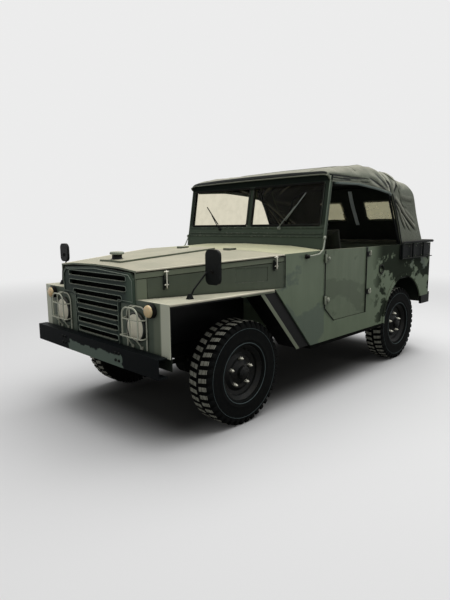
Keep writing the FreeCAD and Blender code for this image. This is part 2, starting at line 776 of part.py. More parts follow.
def lamp_panel():
    """Upright panel outside the grille that closes the left wing's front and carries the lamp."""
    y = nose_y + 6
    shoulder = wing_z - 35 - 2
    panel = prism_y([(narrow_half + gap, panel_low), (700, panel_low), (700, wing_z - sheet),
                     (nose_half + 2, wing_z - sheet), (nose_half + 2, shoulder),
                     (narrow_half + gap, shoulder)], y, y + sheet)
    step = prism_z([(700, y), (wing_nose_half, y + 4), (wing_nose_half, y + 16), (700, y + sheet)],
                   panel_low, wing_z - sheet)
    ledge = prism_z([(486, y), (700, y), (wing_nose_half, y + 4), (wing_nose_half, y + 20),
                     (486, y + 20)], wing_z - sheet, wing_z)
    hole = rod((lamp_x, y - 1, lamp_z), (lamp_x, y + 20, lamp_z), lamp_radius + 1)
    return fuse([panel, step, ledge]).cut(hole)


def headlamps():
    """Bowl with a chromed rim and a domed glass."""
    y = nose_y + 6
    bowl = Part.makeCone(55, lamp_radius, 80, V(lamp_x, y + 70, lamp_z), V(0, -1, 0))
    rim = rod((lamp_x, y - gap, lamp_z), (lamp_x, y - 20, lamp_z), lamp_radius + 10)
    dome = Part.makeSphere(190, V(lamp_x, y - lens_reach + 190, lamp_z), V(0, 1, 0))
    lens = dome.common(rod((lamp_x, y - 12, lamp_z), (lamp_x, y - 60, lamp_z), lamp_radius))
    return both(fuse([bowl, rim, lens]))


lens_reach = 38.0


guard_bar = 5.5                 # radius of the hoops
guard_rod = 4.5                 # radius of the bars and struts between them
guard_reach = 54.0
guard_hoops = (
    # half width, top above the lamp, foot below it, bend, distance in front of the panel
    (109.0, 138.0, 142.0, 64.0, 0.0),
    (88.0, 134.0, 66.0, 56.0, 1.0),
)
guard_bars = (
    # height from the lamp, half width in front, half width at the panel
    (58.0, 88.0, 109.0),
    (-60.0, 128.0, 109.0),
)


def lamp_guards():
    """Cages of two round-topped hoops joined by struts, a middle bar and two feet, before the lamps."""
    x, back = lamp_x, nose_y + 6 - gap - guard_bar
    front = back - guard_reach
    pieces = []
    for half, top, foot, bend, forward in guard_hoops:
        y = back - forward * guard_reach
        pieces.append(tube([(x - half, y, lamp_z - foot), (x - half, y, lamp_z + top),
                            (x + half, y, lamp_z + top), (x + half, y, lamp_z - foot)], guard_bar, bend))
    hoop_top, foot = guard_hoops[1][1], guard_hoops[1][2]
    pieces.append(rod((x, front, lamp_z - foot), (x, front, lamp_z + hoop_top), guard_rod))
    pieces.append(rod((x, front, lamp_z + hoop_top), (x, back, lamp_z + guard_hoops[0][1]), guard_rod))
    for rise, half, half_back in guard_bars:
        z = lamp_z + rise
        pieces.append(tube([(x - half_back, back, z), (x - half, front, z), (x + half, front, z),
                            (x + half_back, back, z)], guard_rod, 12))
    for side in (-1, 1):
        foot_x = x + side * 50
        pieces.append(rod((foot_x, front + 1, lamp_z - 60), (foot_x, back, lamp_z - 132), guard_rod))
        pieces.append(box(foot_x - 12, foot_x + 12, back - guard_bar, back + guard_bar, lamp_z - 142,
                          lamp_z - 122))
    return both(fuse(pieces))


def indicators():
    y = nose_y + 6 - gap
    base = rod((indicator_x, y, indicator_z), (indicator_x, y - 28, indicator_z), indicator_radius + 4)
    lens = rod((indicator_x, y - 28, indicator_z), (indicator_x, y - 52, indicator_z), indicator_radius)
    return both(fuse([base, lens]))


def tail_lamps():
    y = body_rear + gap
    solids = []
    for z, radius in ((980, 42), (850, 42)):
        solids += both(rod((760, y, z), (760, y + 34, z), radius))
    return solids


def radiator():
    """Core between the wings' inner panels, with a wider shroud above the wings."""
    y0, y1 = nose_y + 60, nose_y + 130
    core = box(-rail_outer + 20, rail_outer - 20, y0, y1, rail_top + gap, wing_z + 145)
    shroud = box(-nose_half + 5, nose_half - 5, y0, y1, wing_z + gap, wing_z + 145)
    return [fuse([core, shroud])]


def filler_cap():
    """Round cap on a short neck that stands out of the front of the bonnet."""
    y = nose_y + 190
    z = edge_z(y) + crown(y) + raised_step
    neck = Part.makeCylinder(32, 56, V(0, y, z - 14))
    cap = Part.makeCylinder(44, 14, V(0, y, z + 40))
    return [neck, cap]


def windscreen_turn(shape):
    """Leans a piece drawn upright at the foot of the windscreen."""
    shape.rotate(V(0, cowl_rear, belt_z), V(1, 0, 0), -screen_rake)
    return shape


def windscreen_frame():
    y0, y1 = cowl_rear + 2, cowl_rear + 2 + screen_thick
    z0 = belt_z + gap
    slab = box(-screen_half, screen_half, y0, y1, z0 + screen_foot, z0 + screen_height)
    low, high = z0 + screen_sill, z0 + screen_height - screen_header
    for x0, x1 in window_spans():
        slab = slab.cut(box(x0, x1, y0 - 1, y1 + 1, low, high))
    ribs = [box(-screen_half + 20, screen_half - 20, y0 - 6, y0 + 1, z, z + 10)
            for z in (z0 + screen_sill - 22, z0 + screen_sill - 72, z0 + screen_sill - 98)]
    return [windscreen_turn(fuse([slab] + ribs))]


def window_spans():
    edge = screen_half - screen_side
    return ((-edge, -screen_post / 2), (screen_post / 2, edge))


def windscreen_glass():
    y = cowl_rear + 2 + screen_thick / 2 - glass_thick / 2
    z0 = belt_z + gap
    low, high = z0 + screen_sill + gap, z0 + screen_height - screen_header - gap
    return [windscreen_turn(box(x0 + gap, x1 - gap, y, y + glass_thick, low, high))
            for x0, x1 in window_spans()]


def door(side):
    slab = prism_x(door_outline(shut_gap), body_half - wall, body_half)
    barrels = []
    for z in door_hinge_z:
        barrels.append(Part.makeCylinder(hinge_radius, 60, V(hinge_x, hinge_y, z - 30)))
        barrels.append(box(body_half + gap, hinge_x + 3, hinge_y, door_front + 60, z - 26, z + 26))
        barrels.append(box(body_half - 2, body_half + 1, door_front + 10, door_front + 60, z - 26, z + 26))
    solid = fuse([slab] + barrels)
    return [solid if side > 0 else mirror(solid)]


door_hinge_z = (830.0, 1180.0)


def tailgate():
    slab = box(-gate_half, gate_half, body_rear - wall, body_rear, gate_low, belt_z)
    barrels = []
    for x in (-400, 0, 400):
        barrels.append(rod((x - 50, gate_hinge_y, gate_hinge_z), (x + 50, gate_hinge_y, gate_hinge_z), 8))
        barrels.append(box(x - 48, x + 48, body_rear - 4, gate_hinge_y, gate_hinge_z, gate_low + 40))
    return [fuse([slab] + barrels)]


gate_hinge_y = body_rear + 8.0 + gap
gate_hinge_z = gate_low - 2.0

rack_front = 2290.0
rack_low = 1098.0
rack_rail_z = 1270.0
rack_rail_x = body_half + 22.0
rack_rail_y = body_rear + 28.0


def stowage_racks():
    """Black racks on the rear quarters: a back plate, a tray, uprights and a rail round the corner."""
    x = body_half + gap
    plate = box(x, x + 6, rack_front, body_rear - 20, rack_low, belt_z - 8)
    tray = box(x, rack_rail_x + 10, rack_front, body_rear - 20, rack_low, rack_low + 8)
    rail = tube([(rack_rail_x, rack_front + 10, rack_low + 4), (rack_rail_x, rack_front + 10, rack_rail_z),
                 (rack_rail_x, rack_rail_y, rack_rail_z), (gate_half + 40, rack_rail_y, rack_rail_z),
                 (gate_half + 40, rack_rail_y, 1120)], 14, 40)
    uprights = [rod((rack_rail_x, y, rack_low + 4), (rack_rail_x, y, rack_rail_z), 9)
                for y in (2560, 2820)]
    foot = box(gate_half + 22, gate_half + 58, body_rear + gap, rack_rail_y + 10, 1112, 1132)
    return both(fuse([plate, tray, rail, foot] + uprights))


def front_seats():
    solids = []
    for x in (-380, 380):
        cushion = box(x - 235, x + 235, 1120, 1560, 850, 950)
        back = prism_x([(1490, 950 + gap), (1590, 950 + gap), (1680, 1430), (1620, 1440)],
                       x - 225, x + 225)
        solids += [cushion, back]
    return solids


def seat_boxes():
    """Open-fronted sheet boxes that carry the front seats."""
    solids = []
    for x in (-380, 380):
        base = box(x - 210, x + 210, 1130, 1540, floor_z + floor_thick + gap, 850 - gap)
        inner = box(x - 190, x + 190, 1100, 1520, floor_z, 830)
        solids.append(base.cut(inner))
    return solids


def rear_benches():
    bench = box(well_inner + 5, body_half - wall - 5, 1990, 2960, well_top + gap, well_top + 80)
    return both(bench)


canvas_thick = 7.0
canvas_sections = (
    # y, half at the belt, half at the eave, eave z, half at the shoulder, shoulder z, middle z
    (960.0, 845.0, 848.0, 1874.0, 800.0, 1892.0, 1906.0),
    (1450.0, 845.0, 838.0, 1868.0, 730.0, 1955.0, 1985.0),
    (2100.0, 838.0, 826.0, 1858.0, 710.0, 1950.0, 1985.0),
    (2670.0, 815.0, 796.0, 1802.0, 700.0, 1884.0, 1914.0),
    (3074.0, 792.0, 762.0, 1266.0, 706.0, 1273.0, 1276.0),
)
canvas_low = belt_z + shut_gap + 3
window_inner = 150.0
window_outer = 510.0
window_low = 1512.0
window_top = 1726.0


def canvas_outline(row, inset):
    y, belt, eave, eave_z, shoulder, shoulder_z, middle_z = row
    right = [(belt - inset, canvas_low), (eave - inset, eave_z - inset / 2),
             (shoulder - inset / 2, shoulder_z - inset)]
    points = right + [(0, middle_z - inset)] + [(-x, z) for x, z in reversed(right)]
    return [(x, y, z) for x, z in points]


def canvas_shell():
    """Hollow canopy on the bows, open at the windscreen and at the sides."""
    outer = loft([canvas_outline(row, 0) for row in canvas_sections])
    first = (canvas_sections[0][0] - 5,) + canvas_sections[0][1:]
    last = (canvas_sections[-1][0] - 3 * canvas_thick,) + canvas_sections[-1][1:]
    rows = (first,) + canvas_sections[1:-1] + (last,)
    inner = [[(x, y, z if z > canvas_low else z - 5) for x, y, z in canvas_outline(row, canvas_thick)]
             for row in rows]
    shell = outer.cut(loft(inner))
    sides = prism_x([(905, canvas_low - 10), (905, 1802), (1450, 1812), (2110, 1745),
                     (2350, canvas_low - 10)], -900, 900)
    rake = math.radians(screen_rake)
    back = cowl_rear + 2 + screen_thick / math.cos(rake) + gap
    top = belt_z + gap + screen_height * math.cos(rake)
    screen = prism_x([(back, belt_z), (back + (top - belt_z) * math.tan(rake), top), (900, top),
                      (900, belt_z)], -900, 900)
    return shell.cut(sides).cut(screen)


def rear_window_boxes(inset):
    """Spaces of the two windows behind, seen from the rear."""
    wide = window_outer - window_inner
    return [box(x + inset, x + wide - inset, wheelbase + 150, body_rear + 40,
                window_low + inset, window_top - inset) for x in (-window_outer, window_inner)]


def canvas_top():
    return [canvas_shell().cut(fuse(rear_window_boxes(0)))]


def rear_panes():
    """Clear panes sewn into the canvas behind."""
    shell = canvas_shell()
    return [shell.common(space) for space in rear_window_boxes(gap)]


bow_pivot_y = 2362.0
bow_rows = (
    # half at the belt, y and z of the eave, half there, y and z of the top
    (806.0, 2085.0, 1785.0, 798.0, 2010.0, 1950.0),
    (780.0, 2600.0, 1765.0, 768.0, 2620.0, 1882.0),
)


def canvas_bows():
    """Bent tube hoops that carry the canvas, on pivots inside the side walls."""
    solids = []
    for foot, eave_y, eave_z, half, top_y, top_z in bow_rows:
        y = bow_pivot_y if eave_y < bow_pivot_y else bow_pivot_y + 40
        right = [(foot, y, belt_z - 170), (foot, y, belt_z + 10), (half, eave_y, eave_z),
                 (0.80 * half, top_y, top_z - 35)]
        left = [(-x, y, z) for x, y, z in reversed(right)]
        bow = tube(right + [(0, top_y, top_z)] + left, 11, 45)
        bracket = box(foot - 4, body_half - wall - gap, y - 16, y + 16, belt_z - 165, belt_z - 115)
        solids.append(fuse([bow] + both(bracket)))
    return solids


mirror_rows = (
    # side, foot x y, bend x y z, head x y z, half width, half height
    (1, 734, -466, 747, -440, 1048, 815, -330, 1187, 67, 116),
    (-1, 702, -630, 704, -622, 1100, 745, -575, 1246, 62, 75),
)
mirror_thick = 18.0
mirror_corner = 40.0


def mirrors():
    """Round-cornered mirror heads on bent stalks, the right one lower and further forward."""
    solids = []
    for side, x0, y0, x1, y1, z1, x2, y2, z2, half, rise in mirror_rows:
        base = Part.makeCone(26, 12, 34, V(x0, y0, wing_z + gap))
        back = y2 + mirror_thick / 2
        stalk = tube([(x0, y0, wing_z + 6), (x1, y1, z1), (x2 - half + 12, back, z2 - 20)], 6, 30)
        plate = box(x2 - half, x2 + half, y2 - mirror_thick / 2, back, z2 - rise, z2 + rise)
        upright = [e for e in plate.Edges if abs(e.Vertexes[0].Y - e.Vertexes[1].Y) > 1]
        piece = fuse([base, stalk, plate.makeFillet(mirror_corner, upright)])
        solids.append(piece if side > 0 else mirror(piece))
    return solids


# ---- output -------------------------------------------------------------------------------------
nodes = {
    "chassis_frame": chassis_frame,
    "front_bumper": front_bumper,
    "rear_bumpers": rear_bumpers,
    "engine_block": engine_block,
    "drive_line": drive_line,
    "front_axle": lambda: axle(True),
    "rear_axle": lambda: axle(False),
    "springs": springs,
    "dampers": dampers,
    "fuel_tank": fuel_tank,
    "exhaust": exhaust,
    "steering_column": steering_column,
    "steering_wheel": steering_wheel,
    "knuckle_left": lambda: knuckle(1),
    "knuckle_right": lambda: knuckle(-1),
    "tie_rod": tie_rod,
    "body_floor": body_floor,
    "body_sides": body_sides,
    "cowl": cowl,
    "bonnet": bonnet,
    "bonnet_sides": bonnet_sides,
    "front_wings": front_wings,
    "grille": grille,
    "headlamps": headlamps,
    "lamp_guards": lamp_guards,
    "marker_lamps": lambda: indicators() + tail_lamps(),
    "radiator": radiator,
    "windscreen_frame": windscreen_frame,
    "window_panes": lambda: windscreen_glass() + rear_panes(),
    "door_left": lambda: door(1),
    "door_right": lambda: door(-1),
    "tailgate": tailgate,
    "stowage_racks": stowage_racks,
    "seats": lambda: front_seats() + rear_benches(),
    "canvas_top": canvas_top,
    "canvas_bows": canvas_bows,
    "mirrors": mirrors,
}
one_tyre = tyre_solid()
one_rim = rim_solid()
for place, side, y in (("front_left", 1, 0.0), ("front_right", -1, 0.0),
                       ("rear_left", 1, wheelbase), ("rear_right", -1, wheelbase)):
    nodes["tyre_" + place] = lambda side=side, y=y: wheel_at(side, y, one_tyre.copy())
    nodes["rim_" + place] = lambda side=side, y=y: wheel_at(side, y, one_rim.copy())


def save(name, solids):
    shape = Part.makeCompound([s for piece in solids for s in piece.Solids])
    shape.translate(V(0, front_axle_y, 0))
    shape.exportStep(os.path.join("parts", name + ".step"))
    return shape


os.makedirs("parts", exist_ok=True)
for node, make in nodes.items():
    made = save(node, make())
    if not made.isValid() or not made.Solids:
        print("not valid:", node)
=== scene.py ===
"""Looks of the light army 4x4 car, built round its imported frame.

Pieces are drawn in millimetres with y measured from the front axle, as the source does, and are
turned into metres in the frame when they are finished. Masks of finishes work in metres.
"""

import math
from contextlib import contextmanager

import bmesh
import bpy
import numpy as np
from mathutils import Matrix, Vector


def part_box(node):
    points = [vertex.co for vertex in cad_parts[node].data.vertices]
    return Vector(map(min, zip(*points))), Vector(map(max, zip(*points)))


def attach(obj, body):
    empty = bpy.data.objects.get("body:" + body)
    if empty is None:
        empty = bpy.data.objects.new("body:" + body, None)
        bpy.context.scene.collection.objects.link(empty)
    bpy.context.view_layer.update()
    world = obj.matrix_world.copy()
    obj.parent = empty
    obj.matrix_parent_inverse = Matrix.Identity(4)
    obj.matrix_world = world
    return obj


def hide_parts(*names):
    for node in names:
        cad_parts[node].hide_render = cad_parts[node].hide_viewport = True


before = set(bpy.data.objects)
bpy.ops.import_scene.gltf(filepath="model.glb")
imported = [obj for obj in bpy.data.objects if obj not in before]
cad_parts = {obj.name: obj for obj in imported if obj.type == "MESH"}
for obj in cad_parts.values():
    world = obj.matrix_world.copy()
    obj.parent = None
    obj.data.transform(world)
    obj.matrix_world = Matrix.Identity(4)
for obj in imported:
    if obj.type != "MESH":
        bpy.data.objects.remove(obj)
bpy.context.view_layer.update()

MM = 0.001
SIDES = ((1, "left"), (-1, "right"))
AHEAD, BACK, UP = (0, -1, 0), (0, 1, 0), (0, 0, 1)

front_tyre_low, front_tyre_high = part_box("tyre_front_left")
rear_tyre_low, rear_tyre_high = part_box("tyre_rear_left")
front_axle = (front_tyre_low.y + front_tyre_high.y) / 2
wheelbase = (rear_tyre_low.y + rear_tyre_high.y) / 2 / MM - front_axle / MM
axle_z = (front_tyre_low.z + front_tyre_high.z) / 2 / MM
wheel_x = (front_tyre_low.x + front_tyre_high.x) / 2 / MM
body_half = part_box("body_sides")[1].x / MM
body_rear = (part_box("body_sides")[1].y - front_axle) / MM
bumper_face = (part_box("front_bumper")[0].y - front_axle) / MM
lip_proud = 12.0                                # the grille's lips stand out past its plate
nose_y = (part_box("grille")[0].y - front_axle) / MM + lip_proud
wing_half, wing_z = body_half - 5.0, 985.0
belt_z = 1250.0
cowl_y = 370.0                                  # joint of bonnet and cowl
bonnet_half, bonnet_z, bonnet_rise = 505.0, 1172.0, 68.0      # at the nose, and up to the cowl
grille_half, grille_narrow, grille_low = 485.0, 310.0, 588.0
seat_x = 380.0
front_depth = 16.0                              # the wings' front faces lie this close behind the nose
glass_z = (1.44, 1.47)                          # in metres: where the windscreen's glass begins


def to_frame(x, y, z):
    """Millimetres from the front axle to metres in the frame."""
    return Vector((x * MM, front_axle + y * MM, z * MM))


def finish_piece(name, bm, material, body="body", sharp=32.0, replaces=()):
    """Turns a drawn mesh into a piece that rides on a body."""
    for v in bm.verts:
        v.co = to_frame(*v.co)
    for f in bm.faces:
        f.smooth = True
    for e in bm.edges:
        if len(e.link_faces) == 2 and e.calc_face_angle(0) > math.radians(sharp):
            e.smooth = False
    mesh = bpy.data.meshes.new(name)
    bm.to_mesh(mesh)
    bm.free()
    mesh.materials.append(material)
    piece = bpy.data.objects.new(name, mesh)
    bpy.context.scene.collection.objects.link(piece)
    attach(piece, body)
    if replaces:
        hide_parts(*replaces)
    return piece


@contextmanager
def drawn(name, material, body="body", sharp=32.0, replaces=()):
    """A mesh to draw in, which is finished as a piece when the block ends."""
    bm = bmesh.new()
    yield bm
    finish_piece(name, bm, material, body, sharp, replaces)


def thicken(piece, thickness, offset=-1.0):
    """Gives a sheet its thickness in metres."""
    shell = piece.modifiers.new("thickness", "SOLIDIFY")
    shell.thickness, shell.offset = thickness, offset
    return shell


def circle(count, start=0.0):
    """Angles spread evenly round a turn."""
    return [start + 2 * math.pi * i / count for i in range(count)]


def skin(bm, rings, closed=False, ends=False):
    """Faces between neighbouring rings of as many points, and over the two end rings if asked."""
    faces = []
    for a, b in list(zip(rings, rings[1:])) + ([(rings[-1], rings[0])] if closed else []):
        for i in range(len(a)):
            j = (i + 1) % len(a)
            faces.append(bm.faces.new((a[i], a[j], b[j], b[i])))
    if ends:
        faces += [bm.faces.new(rings[0][::-1]), bm.faces.new(rings[-1])]
    return faces


def sheet(bm, rows):
    """Faces over an open grid of points."""
    for a, b in zip(rows, rows[1:]):
        for j in range(len(a) - 1):
            bm.faces.new((a[j], a[j + 1], b[j + 1], b[j]))


def soften(bm, edges, width, segments=2):
    bmesh.ops.bevel(bm, geom=list(dict.fromkeys(edges)), offset=width, segments=segments,
                    affect="EDGES", profile=0.7 if segments > 1 else 0.5)


def block(bm, x0, x1, y0, y1, z0, z1, edge=1.5):
    """A box with its edges rounded off."""
    verts = [bm.verts.new((x, y, z)) for x in (x0, x1) for y in (y0, y1) for z in (z0, z1)]
    quads = ((0, 1, 3, 2), (4, 6, 7, 5), (0, 4, 5, 1), (2, 3, 7, 6), (0, 2, 6, 4), (1, 5, 7, 3))
    faces = [bm.faces.new([verts[i] for i in quad]) for quad in quads]
    soften(bm, [e for f in faces for e in f.edges], edge)


def across(direction):
    """Two unit vectors square to a direction."""
    d = Vector(direction).normalized()
    side = d.cross(Vector(UP))
    if side.length < 0.05:
        side = d.cross(Vector(BACK))
    side.normalize()
    return side, d.cross(side)


def turned(bm, centre, axis, outline, sides=32):
    """An outline of (distance along the axis, radius) points turned about the axis."""
    centre, d = Vector(centre), Vector(axis).normalized()
    u, w = across(d)
    rings = []
    for along, radius in outline:
        around = circle(sides) if radius > 1e-6 else [0.0]
        rings.append([bm.verts.new(centre + d * along + (u * math.cos(a) + w * math.sin(a)) * radius)
                      for a in around])
    for a, b in zip(rings, rings[1:]):
        for i in range(sides):
            j = (i + 1) % sides
            if len(b) == 1:
                bm.faces.new((a[i], b[0], a[j]))
            else:
                bm.faces.new((a[i], b[i], b[j], a[j]))
    bm.faces.new(rings[0][::-1])
    if len(rings[-1]) > 1:
        bm.faces.new(rings[-1])


def rod(bm, start, end, radius, sides=20):
    """A round bar with its end edges rounded off."""
    run = Vector(end) - Vector(start)
    e = min(1.0, radius * 0.4)
    turned(bm, start, run, [(0, radius - e), (e, radius), (run.length - e, radius),
                            (run.length, radius - e)], sides)


def rounded_path(points, bend, steps=6):
    """A path's corners turned into arcs."""
    corners = [Vector(p) for p in points]
    path = [corners[0]]
    for before, corner, after in zip(corners, corners[1:], corners[2:]):
        a, b = (before - corner), (after - corner)
        back = min(bend / math.tan(a.angle(b) / 2), 0.49 * a.length, 0.49 * b.length)
        start, end = corner + a.normalized() * back, corner + b.normalized() * back
        for i in range(steps + 1):
            t = i / steps
            path.append(start * (1 - t) ** 2 + corner * 2 * t * (1 - t) + end * t * t)
    return path + [corners[-1]]


def sweep(bm, path, section, closed=False):
    """A closed section of (across, up) points carried along a path."""
    path = [Vector(p) for p in path]
    n = len(path)
    rings, side = [], None
    for i, p in enumerate(path):
        before, after = (i - 1, (i + 1) % n) if closed else (max(i - 1, 0), min(i + 1, n - 1))
        ahead = (path[after] - path[before]).normalized()
        if side is None:
            side = across(ahead)[0]
        side = (side - ahead * side.dot(ahead)).normalized()
        up = ahead.cross(side)
        rings.append([bm.verts.new(p + side * s + up * t) for s, t in section])
    skin(bm, rings, closed, ends=not closed)


def disc(radius, sides=12):
    """Section of a round bar."""
    return [(radius * math.cos(a), radius * math.sin(a)) for a in circle(sides)]


def strip(half, thick):
    """Section of a flat bar."""
    return [(-half, -thick), (-half, thick), (half, thick), (half, -thick)]


def webbing(half, thick):
    """Section of a flat band with thinner edges."""
    one_side = [(-half, 0), (1 - half, thick), (half - 1, thick)]
    return one_side + [(-s, -t) for s, t in one_side]


def tube(bm, points, radius, bend=30.0):
    """A bent round bar."""
    sweep(bm, rounded_path(points, bend), disc(radius))


def plate(bm, outline, direction, thick, edge=1.2):
    """A flat outline of 3-D points given a thickness, its edges rounded off."""
    step = Vector(direction).normalized() * thick
    low = [bm.verts.new(Vector(p)) for p in outline]
    high = [bm.verts.new(Vector(p) + step) for p in outline]
    faces = [bm.faces.new(low), bm.faces.new(high[::-1])]
    for i in range(len(outline)):
        j = (i + 1) % len(outline)
        faces.append(bm.faces.new((low[j], low[i], high[i], high[j])))
    bmesh.ops.recalc_face_normals(bm, faces=faces)
    soften(bm, list(faces[0].edges) + list(faces[1].edges), edge)


def rounded_outline(x0, x1, z0, z1, radius, steps=5):
    """Corners of a round-cornered rectangle as flat (x, z) points."""
    points = []
    for cx, cz, start in ((x1 - radius, z1 - radius, 0), (x0 + radius, z1 - radius, 90),
                          (x0 + radius, z0 + radius, 180), (x1 - radius, z0 + radius, 270)):
        for i in range(steps + 1):
            a = math.radians(start + 90 * i / steps)
            points.append((cx + radius * math.cos(a), cz + radius * math.sin(a)))
    return points


def upright(y, *box_and_radius):
    """A round-cornered rectangle that stands across the car at y."""
    return [(x, y, z) for x, z in rounded_outline(*box_and_radius)]


def bolt(bm, place, axis, size=7.0, height=6.0):
    """A hexagon head on a washer."""
    washer = 1.2
    turned(bm, place, axis, [(0, size * 1.25), (washer, size * 1.25), (washer, size)], 16)
    turned(bm, Vector(place) + Vector(axis).normalized() * washer, axis,
           [(0, size), (height * 0.8, size), (height, size * 0.82)], 6)


def rivet(bm, place, axis, size=6.0):
    """A low domed head."""
    turned(bm, place, axis, [(-0.5, size), (0.8, size), (size * 0.34, size * 0.75),
                             (size * 0.48, size * 0.4), (size * 0.52, 0)], 10)


# ---- node helpers -------------------------------------------------------------------------------
class Wire:
    """A shader node's output. Arithmetic on it adds the nodes that work it out."""

    def __init__(self, tree, socket):
        self.tree, self.socket = tree, socket

    def __add__(self, other):
        return self.tree.math("ADD", self, other)

    def __sub__(self, other):
        return self.tree.math("SUBTRACT", self, other)

    def __rsub__(self, other):
        return self.tree.math("SUBTRACT", other, self)

    def __mul__(self, other):
        return self.tree.math("MULTIPLY", self, other)

    def __lt__(self, other):
        return self.tree.math("LESS_THAN", self, other)

    def __gt__(self, other):
        return self.tree.math("GREATER_THAN", self, other)

    def __abs__(self):
        return self.tree.math("ABSOLUTE", self)


class Tree:
    """Short calls for making and joining shader nodes."""

    def __init__(self, tree):
        self.tree = tree
        tree.nodes.clear()

    def put(self, node, key, value):
        if isinstance(value, Wire):
            self.tree.links.new(value.socket, node.inputs[key])
        else:
            node.inputs[key].default_value = value

    def fill(self, node, **inputs):
        for key, value in inputs.items():
            self.put(node, key.replace("_", " "), value)

    def node(self, kind, settings=None, *values, **inputs):
        """A node with its settings, its first inputs in order and others by name."""
        node = self.tree.nodes.new("ShaderNode" + kind)
        for key, value in (settings or {}).items():
            setattr(node, key, value)
        for i, value in enumerate(values):
            self.put(node, i, value)
        self.fill(node, **inputs)
        return node

    def out(self, key, kind, settings=None, *values, **inputs):
        """One output of a new node."""
        return Wire(self, self.node(kind, settings, *values, **inputs).outputs[key])

    def math(self, operation, *values, clamp=False):
        return self.out(0, "Math", {"operation": operation, "use_clamp": clamp}, *values)

    def most(self, a, b):
        return self.math("MAXIMUM", a, b)

    def mix(self, factor, a, b, blend="MIX"):
        node = self.node("Mix", {"data_type": "RGBA", "blend_type": blend}, factor)
        self.put(node, 6, a)
        self.put(node, 7, b)
        return Wire(self, node.outputs[2])

    def ramp(self, value, low, high, out_low=0.0, out_high=1.0, smooth=True):
        kind = {"interpolation_type": "SMOOTHSTEP" if smooth else "LINEAR"}
        return self.out(0, "MapRange", kind, value, low, high, out_low, out_high)

    def noise(self, vector, scale, detail=3.0, rough=0.5):
        return self.out(0, "TexNoise", None, Vector=vector, Scale=scale, Detail=detail, Roughness=rough)

    def stretched(self, scale):
        return self.out(0, "Mapping", None, Vector=self.place(), Scale=scale)

    def place(self, name="Object"):
        return self.out(name, "TexCoord")

    def axes(self, name="Object"):
        node = self.node("SeparateXYZ", None, self.place(name))
        return [Wire(self, socket) for socket in node.outputs]

    def attribute(self, name):
        return self.out("Fac", "Attribute", {"attribute_name": name})

    def group(self, group, **inputs):
        """A node group's outputs by name."""
        node = self.node("Group", {"node_tree": group}, **inputs)
        return {socket.name: Wire(self, socket) for socket in node.outputs}

    def bump(self, height, strength, distance, **normal):
        return self.out(0, "Bump", None, Strength=strength, Distance=distance, Height=height, **normal)


def rgb(red, green, blue):
    """A colour given as 0-255 display levels, made linear for the nodes."""
    levels = [v / 255.0 for v in (red, green, blue)]
    return (*[v / 12.92 if v <= 0.04045 else ((v + 0.055) / 1.055) ** 2.4 for v in levels], 1.0)


def node_group(name, inputs, outputs):
    """Turns a function of a tree and the group's inputs, which gives its outputs, into the group."""
    def make(build):
        group = bpy.data.node_groups.new(name, "ShaderNodeTree")
        t = Tree(group)
        for label, value in inputs:
            kind = "NodeSocketColor" if isinstance(value, tuple) else "NodeSocketFloat"
            group.interface.new_socket(label, in_out="INPUT", socket_type=kind).default_value = value
        for label, kind in outputs:
            group.interface.new_socket(label, in_out="OUTPUT", socket_type="NodeSocket" + kind)
        given = group.nodes.new("NodeGroupInput").outputs
        end = group.nodes.new("NodeGroupOutput")
        for i, value in enumerate(build(t, *[Wire(t, socket) for socket, _ in zip(given, inputs)])):
            t.put(end, i, value)
        return group
    return make


@node_group("rounded_edges", [("Width", 0.003), ("Wear", 0.5)], [("Normal", "Vector"), ("Mask", "Float")])
def rounded_edges(t, width, wear):
    """Softened edge normal, and a mask of the edges where paint rubs off."""
    soft = t.out(0, "Bevel", {"samples": 4}, Radius=width)
    true = t.out("Normal", "NewGeometry")
    bare = t.ramp(t.out("Value", "VectorMath", {"operation": "DOT_PRODUCT"}, soft, true), 0.985, 0.80)
    broken = t.ramp(t.noise(t.place(), 38.0, 5.0, 0.65), 0.46, 0.62)
    coarse = t.ramp(t.noise(t.place(), 5.0, 2.0, 0.5), 0.35, 0.65, 0.25, 1.0)
    return soft, t.math("MULTIPLY", bare * broken * coarse, wear, clamp=True)


@node_group("dust", [("Top", 0.7), ("Low", 0.4), ("Height", 0.6)],
            [("Top Mask", "Float"), ("Low Mask", "Float")])
def dust(t, top, low, height):
    """Mask of faces that look up, lighter with dust, sun bleach and painted top light, and of road dirt
    low down.
    """
    facing = t.ramp(t.axes("Normal")[2], 0.45, 0.97)
    clouds = t.ramp(t.noise(t.place(), 3.2, 5.0, 0.6), 0.30, 0.70, 0.72, 1.0)
    specks = t.ramp(t.noise(t.place(), 55.0, 3.0, 0.6), 0.35, 0.6, 0.85, 1.0)
    reach = height + t.noise(t.place(), 4.0, 4.0) * 0.35
    depth = t.math("SUBTRACT", 1.0, t.math("DIVIDE", t.axes()[2], reach), clamp=True)
    splash = t.ramp(t.noise(t.place(), 22.0, 6.0, 0.7), 0.38, 0.68)
    return (t.math("MULTIPLY", facing * clouds * specks, top, clamp=True),
            t.math("MULTIPLY", depth * splash, low, clamp=True))


@node_group("patches", [("Scale", 2.6), ("Share", 0.4)], [("Mask", "Float")])
def patches(t, scale, share):
    """Mask of dark, sharp-edged patches, used for painted shade near the rear wheel and for darker tones
    elsewhere.
    """
    bent = t.noise(t.stretched((1.0, 1.0, 1.5)), scale, 4.0, 0.55)
    return [t.math("DIVIDE", bent - (0.72 - share * 0.45), 0.035, clamp=True)]


@node_group("crevice", [("Distance", 0.02)], [("Mask", "Float")])
def crevice(t, distance):
    """Mask of painted shade in corners and round fittings, where dirt also settles."""
    return [t.ramp(t.out("AO", "AmbientOcclusion", {"samples": 4}, Distance=distance), 0.86, 0.46)]


